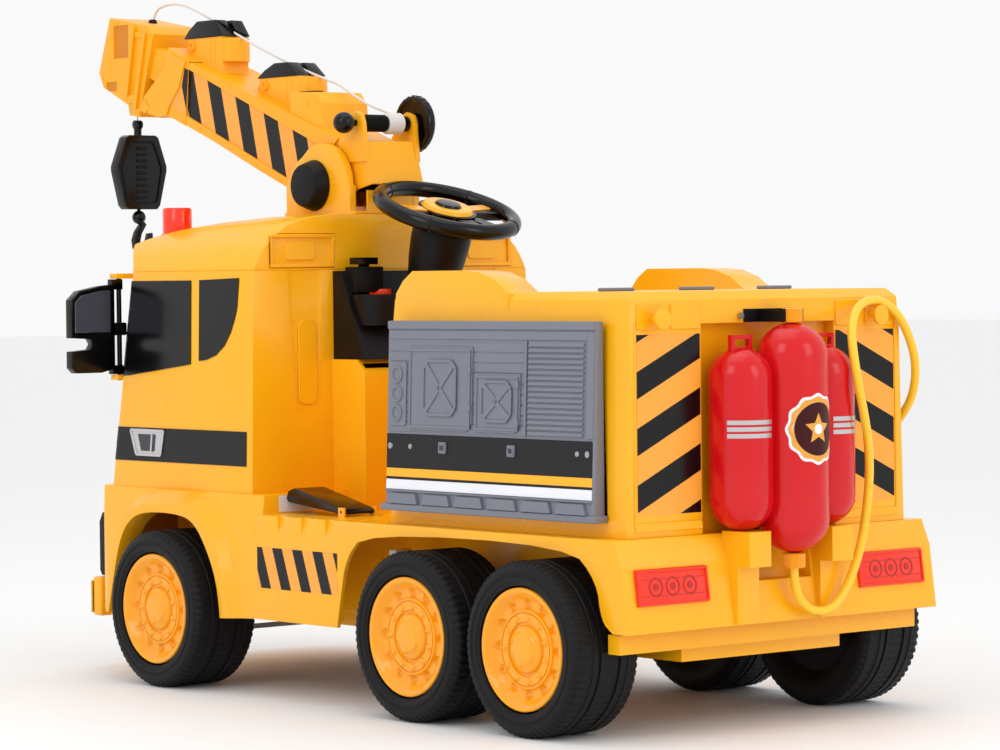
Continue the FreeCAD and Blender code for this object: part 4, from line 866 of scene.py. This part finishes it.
def drum_rope():
    """Thirteen turns of rope, as a turned profile."""
    profile = [(DRUM_RADIUS, -34)]
    for number in range(13):
        y = -32 + 2 * number
        profile += [(15.6, y), (16.6, y + 1), (15.6, y + 2)]
    profile.append((DRUM_RADIUS, -4))
    drum = Shape()
    drum.lathe(profile, facing_side(1, 0, WINCH_X, WINCH_Z), 48)
    make("drum_rope", drum, [ROPE], "winch", angle=60)


def drum_ribs():
    profile = [(DRUM_RADIUS, -2)]
    for number in range(20):
        y = -1 + 2.2 * number
        profile += [(12.3, y), (13.4, y + 0.4), (13.4, y + 1.2), (12.3, y + 1.6)]
    profile.append((DRUM_RADIUS, 44))
    ribs = Shape()
    ribs.lathe(profile, facing_side(1, 0, WINCH_X, WINCH_Z), 48)
    make("drum_ribs", ribs, [SATIN], "winch")


def hand_wheel_grips():
    grips = Shape()
    for index in range(24):
        angle = 2 * math.pi * index / 24
        grips.lathe([(0, 0), (1.6, 0.4), (1.6, 8.6), (0, 9)],
                    facing_side(-1, 58, WINCH_X + 43.4 * math.cos(angle),
                                WINCH_Z + 43.4 * math.sin(angle)), 10)
    make("hand_wheel_grips", grips, [BLACK], "winch")


def hook_block_ribs():
    """Raised edge and nine bars on the hook block's front and rear."""
    ribs = Shape()
    half = [(26, 752), (31, 757), (40, 806), (40, 812), (26, 850), (21, 855)]
    outline = [(-26, 752), *half, *[(-a, b) for a, b in half[:0:-1]]]
    for face in (1, -1):
        def place(a, b, c, face=face):
            return mm(BLOCK_X + face * (BLOCK_HALF + c), a, b)
        ribs.bars(outline, 3.4, place, -0.4, 1.8)
        for index in range(9):
            z = 758 + 10.4 * index
            ribs.prism(rounded((-10.5, z), (10.5, z + 5.4), 1.6), place, -0.4, 2)
    make("hook_block_ribs", ribs, [SATIN], "hook_block", bevel=0.0005)


# ---- wheels

AXLES = {"front": 285, "middle": -337, "rear": -587}
AXLE_HEIGHT = 120
TYRE_IN, CAP_OUT = 213, 328     # from the middle to a tyre's inner face and its cap
CAP_FACE = [(84, -9), (84, -5), (83, -3.6), (81, -3), (78.5, -3.6), (76, -5.6), (73, -9),
            (70, -12.4), (67.5, -15), (66, -16.2), (64.5, -16.6),
            *[(63 - 1.5 * k, -16.8) for k in range(5)], (55.5, -16.4), (54.4, -15.4), (53.6, -12.6),
            (52, -12), (51, -12), (50.4, -14), (49.2, -14), (48.6, -12),
            *[(47 - 1.2 * k, -12) for k in range(8)],
            (37.4, -12.2), (36.4, -15.4), (33, -15.4), (31.6, -11), (30, -9.6), (27, -8.4),
            (23, -6.6), (22, -5.6), (18, -5), (12, -4.4), (6, -4.1), (0, -4)]
CAP_BACK = [(0, -9), (18, -10), (26, -13), (30, -21), (37, -21), (41, -17), (47, -17),
            (51, -22), (66, -22.5), (76, -13), (83.6, -9.6)]


def spots(radius, angle, count, ring, reach, soft):
    """1 on each of a number of round spots on a ring, falling to 0 beyond their edges."""
    step = 2 * math.pi / count
    off = (angle + step / 2) % step - step / 2
    return max(0, min(1, (reach - math.hypot(radius - ring, radius * off)) / soft))


def cap_relief(radius, height, index, angle):
    """Twelve round dimples and eleven bolt heads on the cap."""
    if height < -17 or height in (-9, -10, -13):
        return radius, height
    if 52.9 < radius < 69:
        height -= 5.2 * spots(radius, angle, 12, 61, 7.4, 2.4)
    if 37 < radius < 48.7:
        height += 3.4 * spots(radius, angle, 11, 43, 5, 1.5)
    if 13 < radius < 22.5:
        height += 0.9 if math.cos(5 * angle) > 0.1 else 0
    return radius, height


TREAD = 119.9                   # radius of the tyre's flat tread


def groove(start, end, depth):
    """Groove round the tyre, from start to end across its tread."""
    return [(start, TREAD), (start + 1, TREAD - depth), (end - 1, TREAD - depth), (end, TREAD)]


# (distance from the tyre's inner face, radius)
TYRE_SECTION = [(12, 30), (14, 70), (4.5, 84), (0.6, 98), (0.6, 107), (3.2, 114.6), (7, 118.6),
                (10, TREAD), (17, TREAD), *groove(24, 30, 1.5), *groove(37.6, 43, 2.7),
                (50, TREAD), (57, TREAD), (65, TREAD), *groove(72, 77.4, 2.7),
                *groove(85, 91, 1.5), (98, TREAD), (104.6, TREAD), (108, 118.6), (111.6, 115),
                (114.2, 110), (114.9, 106), (114.9, 103), (113.6, 101.6), (113.6, 99.4),
                (114.9, 98), (114.6, 93), (112.6, 90.6), (112.2, 87), (104, 85.2), (88, 84.2),
                (84, 30)]


def tread(radius, height, index, angle):
    """Short grooves across the shoulders and beside the smooth bands."""
    if index % 4 in (1, 2):
        if radius > 114 and (height < 9 or height > 103):
            radius -= 2.4
        elif radius > 119 and any(abs(height - spot) < 1 for spot in (17, 50, 65, 98)):
            radius -= 1.6
    return radius, height


def wheel(end, side):
    """Tyre with its tread and the yellow cap with dimples and bolt heads."""
    tag = f"{end}_{side_name(side)}"
    rubber = Shape()
    rubber.lathe([(r, h) for h, r in TYRE_SECTION],
                 facing_side(side, TYRE_IN, AXLES[end], AXLE_HEIGHT), 272, closed=True, wave=tread)
    tyre = make(f"tread_{tag}", rubber, [TYRE], f"wheel_{tag}", angle=28)
    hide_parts(f"tyre_{tag}")
    shell = Shape()
    shell.lathe(CAP_FACE + CAP_BACK, facing_side(side, CAP_OUT, AXLES[end], AXLE_HEIGHT), 220,
                closed=True, wave=cap_relief)
    cap = make(f"cap_{tag}", shell, [CAP_YELLOW], f"wheel_{tag}", angle=50)
    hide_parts(f"wheel_cap_{tag}")


# ---- bottles

BOTTLE_X, BOTTLE_RADIUS = -780, 49      # the middle bottle
SIDE_BOTTLE_X, SIDE_BOTTLE_Y, SIDE_BOTTLE_RADIUS = -760, 78, 43.5
BADGE_HEIGHT = 412


def bottle_label(shape, centre, radius, angles, low, high, steps=24):
    """Strip wrapped round an upright bottle; angles from the front of the truck, in degrees."""
    rows = []
    for index in range(steps + 1):
        angle = math.radians(angles[0] + (angles[1] - angles[0]) * index / steps)
        column = []
        for r, z in rectangle((radius - 0.2, low), (radius + 0.5, high)):
            column.append(mm(centre[0] + r * math.cos(angle), centre[1] + r * math.sin(angle), z))
        rows.append(column + [column[0]])
    shape.sheet(rows)
    for row in (rows[0], rows[-1]):
        shape.add(row[:4], [(0, 1, 2, 3)])


def bottle_stripes():
    """Three silver stripes round the seen part of each outer bottle."""
    labels = Shape()
    for side, angles in ((1, (111.6, 206.4)), (-1, (153.6, 248.4))):
        for low in (402, 411, 420):
            bottle_label(labels, (SIDE_BOTTLE_X, SIDE_BOTTLE_Y * side), SIDE_BOTTLE_RADIUS, angles,
                         low, low + 6)
    make("bottle_stripes", labels, [SILVER], "truck")


def on_bottle(u, v, c):
    """Point on the rear of the middle bottle: u round it, v up from the badge's centre."""
    angle = math.pi + u / BOTTLE_RADIUS
    return mm(BOTTLE_X + (BOTTLE_RADIUS + c) * math.cos(angle),
              (BOTTLE_RADIUS + c) * math.sin(angle), BADGE_HEIGHT + v)


def badge_disc(shape, outline, out, number):
    """Filled outline wrapped on the middle bottle, in rings so that it follows the curve."""
    rows = []
    closed = [*outline, outline[0]]
    for share in (1, 0.999, 0.8, 0.6, 0.4, 0.2, 0.001):
        height = 0 if share == 1 else out
        rows.append([on_bottle(u * share, v * share, height) for u, v in closed])
    shape.sheet(rows, number)


def round_outline(radius, wobble=0.0, count=0, steps=96):
    """Circle, or a scalloped one with a number of waves."""
    points = []
    for index in range(steps):
        angle = 2 * math.pi * index / steps
        r = radius * (1 + wobble * math.cos(count * angle))
        points.append((r * math.sin(angle), r * math.cos(angle)))
    return points


def star_outline(outer, inner, parts=6):
    """Five-pointed star with its edges cut into short parts."""
    corners = []
    for index in range(10):
        angle = 2 * math.pi * index / 10
        r = inner if index % 2 else outer
        corners.append((r * math.sin(angle), r * math.cos(angle)))
    points = []
    for index, (x, y) in enumerate(corners):
        to_x, to_y = corners[(index + 1) % len(corners)]
        points += [(x + (to_x - x) * k / parts, y + (to_y - y) * k / parts) for k in range(parts)]
    return points


def bottle_badge():
    """Plain scalloped medallion with a star on the middle bottle."""
    badge = Shape()
    badge_disc(badge, round_outline(47, 0.035, 12), 0.35, 0)
    badge_disc(badge, round_outline(43, 0.03, 12), 0.5, 1)
    badge_disc(badge, round_outline(36), 0.65, 2)
    badge_disc(badge, star_outline(22, 10.5), 0.8, 1)
    badge_disc(badge, round_outline(7), 0.95, 0)
    make("bottle_badge", badge, [PALE, GOLD, MAROON], "truck", angle=60)


def bottle_caps():
    """Ribbed yellow caps at both ends of the middle bottle."""
    caps = Shape()
    for radius, low, high in ((14.8, 555.3, 575.1), (15.8, 222, 242.6)):
        def ribbed(r, h, index, angle, low=low, high=high):
            if low + 1.5 < h < high - 1.5 and r > 10 and index % 4 in (0, 1):
                r -= 1.1
            return r, h
        caps.lathe([(0, low), (radius - 1.6, low), (radius - 0.4, low + 0.8), (radius, low + 1.4),
                    (radius, low + 2), (radius, high - 2), (radius, high - 1.4),
                    (radius - 0.8, high - 0.6), (radius - 2, high), (7, high), (6, high - 0.8),
                    (0, high - 0.8)], facing_up(BOTTLE_X), 120, wave=ribbed)
    item = make("bottle_caps", caps, [CAP_YELLOW], "truck", angle=40)
    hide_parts("extinguisher_caps")


# ---- tail lamps

LAMP_X, LAMP_Z, LAMP_SLOPE = -765.2, 185, 0.1333    # foot of the leaning rear face, and its lean
LAMP_MIDDLE = 209


def tail_lamps():
    """Frame, three round lenses and two rows of dashes on each tail lamp."""
    lamps = Shape()
    for side in SIDES:
        def place(a, b, c, side=side):
            return mm(LAMP_X + (b - LAMP_Z) * LAMP_SLOPE - c, side * a, b)
        lamps.square_frame((143, 185.6), (270, 232.4), 3, place, -0.4, 1.6)
        for centre in (176, 206.5, 237):
            on_lens = shifted(place, centre, LAMP_MIDDLE)
            lamps.lathe([(13, -0.2), (12.6, 0.9), (10.4, 0.9), (10, -0.2)], on_lens, 40, 1)
            lamps.lathe([(5, -0.2), (4.6, 0.9), (0, 0.9)], on_lens, 24, 1)
        for index in range(15):
            a = 152 + 8 * index
            for z in (219, 197):
                lamps.pad((a, z), (a + 5.5, z + 1), place, SUNK, 0.5, 1)
    make("tail_lamp_relief", lamps, [LAMP, LAMP_DEEP], "truck", bevel=0.0005)


# ---- mirrors and cab details

MIRROR_X, MIRROR_FOOT_X = 457, 467      # rear faces of a mirror's glass and of its lower clamp
STEP_X, CAB_REAR_X, RECESS_X = 59.9, 94.9, 98


def mirror(side):
    """Glass, and the frame with its notch and clamp."""
    place = facing_rear(MIRROR_X, side)
    glass = Shape()
    glass.prism([(282, 541), (348, 541), (348, 587.6), (336.6, 599.2), (300, 606.2),
                 (282, 607.2)], place, 0, 1.3)
    make(f"mirror_glass_{side_name(side)}", glass, [GLASS], f"mirror_{side_name(side)}",
         bevel=0.0004)
    rim = Shape()
    rim.prism([(282, 488), (298, 484), (344, 484), (350, 490), (350, 508), (318, 510),
               (311, 523), (318, 535), (282, 535)], place, -2.2, 0.4)
    rim.prism(rounded((252, 536), (281, 556), 3), facing_rear(MIRROR_FOOT_X, side), 0, 12)
    make(f"mirror_frame_{side_name(side)}", rim, [SATIN], f"mirror_{side_name(side)}",
         bevel=0.0012)


def blank_label():
    """White label without words below the cab's rear."""
    label = Shape()
    label.prism(rounded((181, 274), (250, 298.6), 1.5), facing_rear(STEP_X), 0, 0.5)
    make("blank_label", label, [PALE], "truck")


def cab_rear_relief():
    """Long pads and framed covers on the cab's rear face."""
    relief = Shape()
    for side in SIDES:
        low, high = sorted((side * 149, side * 184))
        relief.prism(rounded((low, 432), (high, 560), 12), facing_rear(CAB_REAR_X), -1.6, 0.4)
        low, high = sorted((side * 114, side * 235))
        relief.square_frame((low, 639), (high, 689), 5, facing_rear(RECESS_X), -0.4, 4.4)
        low, high = sorted((side * 150, side * 205))
        relief.prism(rounded((low, 650), (high, 678), 6), facing_rear(RECESS_X), -0.4, 2.4)
    make("cab_rear_relief", relief, [YELLOW], "truck", bevel=0.0015)


def seat_grips():
    grips = Shape()
    for y in (-150, 0, 150):
        grips.prism(rounded((-604, y - 25), (-578, y + 25), 5), mm, 600, 605)
    make("seat_grips", grips, [GREY], "truck", bevel=0.0015)


def perforated_strips():
    """Steel strips with two rows of holes in front of the side panels; the holes are black pads,
    painted shade of the openings.
    """
    strips = Shape()
    for side in SIDES:
        def place(a, b, c, side=side):
            return mm(a, side * (262 - 7 * (b - 272) / 273 + c), b)
        strips.pad((-243.4, 300), (-230, 470), place, 0, 1.2)
        for index in range(17):
            z = 304 + 9.8 * index
            # Black pads standing for the holes: painted shade inside them.
            for a in (-241.4, -235.8):
                strips.pad((a, z), (a + 3.6, z + 5), place, 1.1, 1.5, 1)
    make("perforated_strips", strips, [STEEL, BLACK], "truck")


# ---- steering wheel

HUB_X, HUB_Z, RIM_RADIUS = -38, 723, 103
TILT = math.radians(20)


def on_steering(a, b, c):
    """Point in the tilted wheel's axes: a forward, b to the left and c along the column."""
    return mm(HUB_X + a * math.cos(TILT) - c * math.sin(TILT), b,
              HUB_Z + a * math.sin(TILT) + c * math.cos(TILT))


def steering_wheel():
    """Yellow spoke inserts, black legs under them and four seam rings on the rim."""
    inserts = Shape()
    legs = Shape()
    for side in SIDES:
        inserts.prism([(-8, 42 * side), (12, 42 * side), (20, 84 * side), (2, 87 * side)],
                      on_steering, -1, 2.6)
        legs.prism([(-30, 16 * side), (-34, 38 * side), (-86, 54 * side), (-96, 30 * side)],
                   on_steering, -9, -1)
        legs.prism([(-14, 40 * side), (16, 40 * side), (26, 93 * side), (-8, 95 * side)],
                   on_steering, -9, 0.4)
    for angle in (0.55, 2.25, 3.75, 5.3):
        def on_rim(a, b, c, angle=angle):
            heading = Vector((-math.sin(angle), math.cos(angle)))
            outward = Vector((math.cos(angle), math.sin(angle)))
            spot = outward * (RIM_RADIUS + a) + heading * c
            return on_steering(spot.x, spot.y, b)
        legs.lathe([(11.5, -2), (12.7, -1.6), (12.7, -0.6), (11.8, 0), (12.7, 0.6), (12.7, 1.6),
                    (11.5, 2)], on_rim, 40)
    make("wheel_inserts", inserts, [CAP_YELLOW], "steering", bevel=0.001)
    make("wheel_legs", legs, [BLACK], "steering", bevel=0.002, angle=40)


def column_boot():
    boot = Shape()
    boot.lathe([(27, -27), (43, -28), (45.5, -32), (45.5, -50), (43, -80), (38.5, -108),
                (36, -114), (31, -118), (30, -135)], on_steering, 72)
    make("column_boot", boot, [SATIN], "truck", angle=40)


# ---- wiring beside the wheels

WIRES = [((-175, 150, 206), (-185, 196, 214), (-176, 232, 206), (-196, 240, 176), (-188, 214, 148)),
         ((-178, 150, 198), (-196, 204, 222), (-204, 240, 208), (-186, 250, 182), (-200, 220, 150)),
         ((-184, 150, 190), (-170, 190, 232), (-196, 226, 226), (-214, 236, 196), (-206, 205, 160)),
         ((-190, 150, 184), (-208, 200, 236), (-180, 238, 222), (-178, 246, 190), (-212, 226, 166))]
WIRE_COLOURS = (plastic("wire_red", "B0241C"), plastic("wire_green", "2F7A3A"),
                plastic("wire_white", "DEDBCE"), plastic("wire_yellow", "D8A524"))
WIRE_RADIUS, CABLE_RADIUS = 0.0014, 0.004
BATTERY_CABLE = ((-150, 150, 132), (-150, 210, 118), (-190, 236, 112), (-214, 220, 120),
                 (-230, 160, 128))
PLUG_WHITE = plastic("plug_white", "D9D6C8", rough=0.5)


def wiring():
    """Thin coloured wires with their plugs, and the battery cable."""
    for index, (points, finish) in enumerate(zip(WIRES, WIRE_COLOURS)):
        for side in SIDES:
            curve(f"wire_{index}_{side_name(side)}", [(x, side * y, z) for x, y, z in points],
                  WIRE_RADIUS, finish, "truck")
    plugs = Shape()
    for side in SIDES:
        for x, y, z in ((-188, 214, 146), (-206, 205, 158), (-200, 220, 150), (-196, 228, 222)):
            low, high = sorted((side * (y - 6), side * (y + 8)))
            plugs.pad((x - 8, low), (x + 8, high), mm, z - 10, z + 8)
    make("wire_plugs", plugs, [PLUG_WHITE], "truck", bevel=0.0012)
    curve("battery_cable", BATTERY_CABLE, CABLE_RADIUS, SATIN, "truck")


# ---- the whole truck

for entry in frame["record"]["subparts"]:
    finish_node(entry)
for builds in ((side_panel,), (rear_sticker, rear_pads, skirt_sticker, windows, belt, marker),
               (boom_sticker, boom_rails, head_flanges)):
    for side in SIDES:
        for build in builds:
            build(side)
for build in (boom_bosses, guide_blocks, housing_slot_shade, rope_grommet, drum_rope, drum_ribs,
              hand_wheel_grips, hook_block_ribs):
    build()
for end in AXLES:
    for side in SIDES:
        wheel(end, side)
for build in (bottle_stripes, bottle_badge, bottle_caps, tail_lamps):
    build()
for side in SIDES:
    mirror(side)
for build in (blank_label, cab_rear_relief, seat_grips, perforated_strips, steering_wheel,
              column_boot, wiring):
    build()

visual_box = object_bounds()
[[list(p) for p in box] for box in (cad_box, visual_box)]
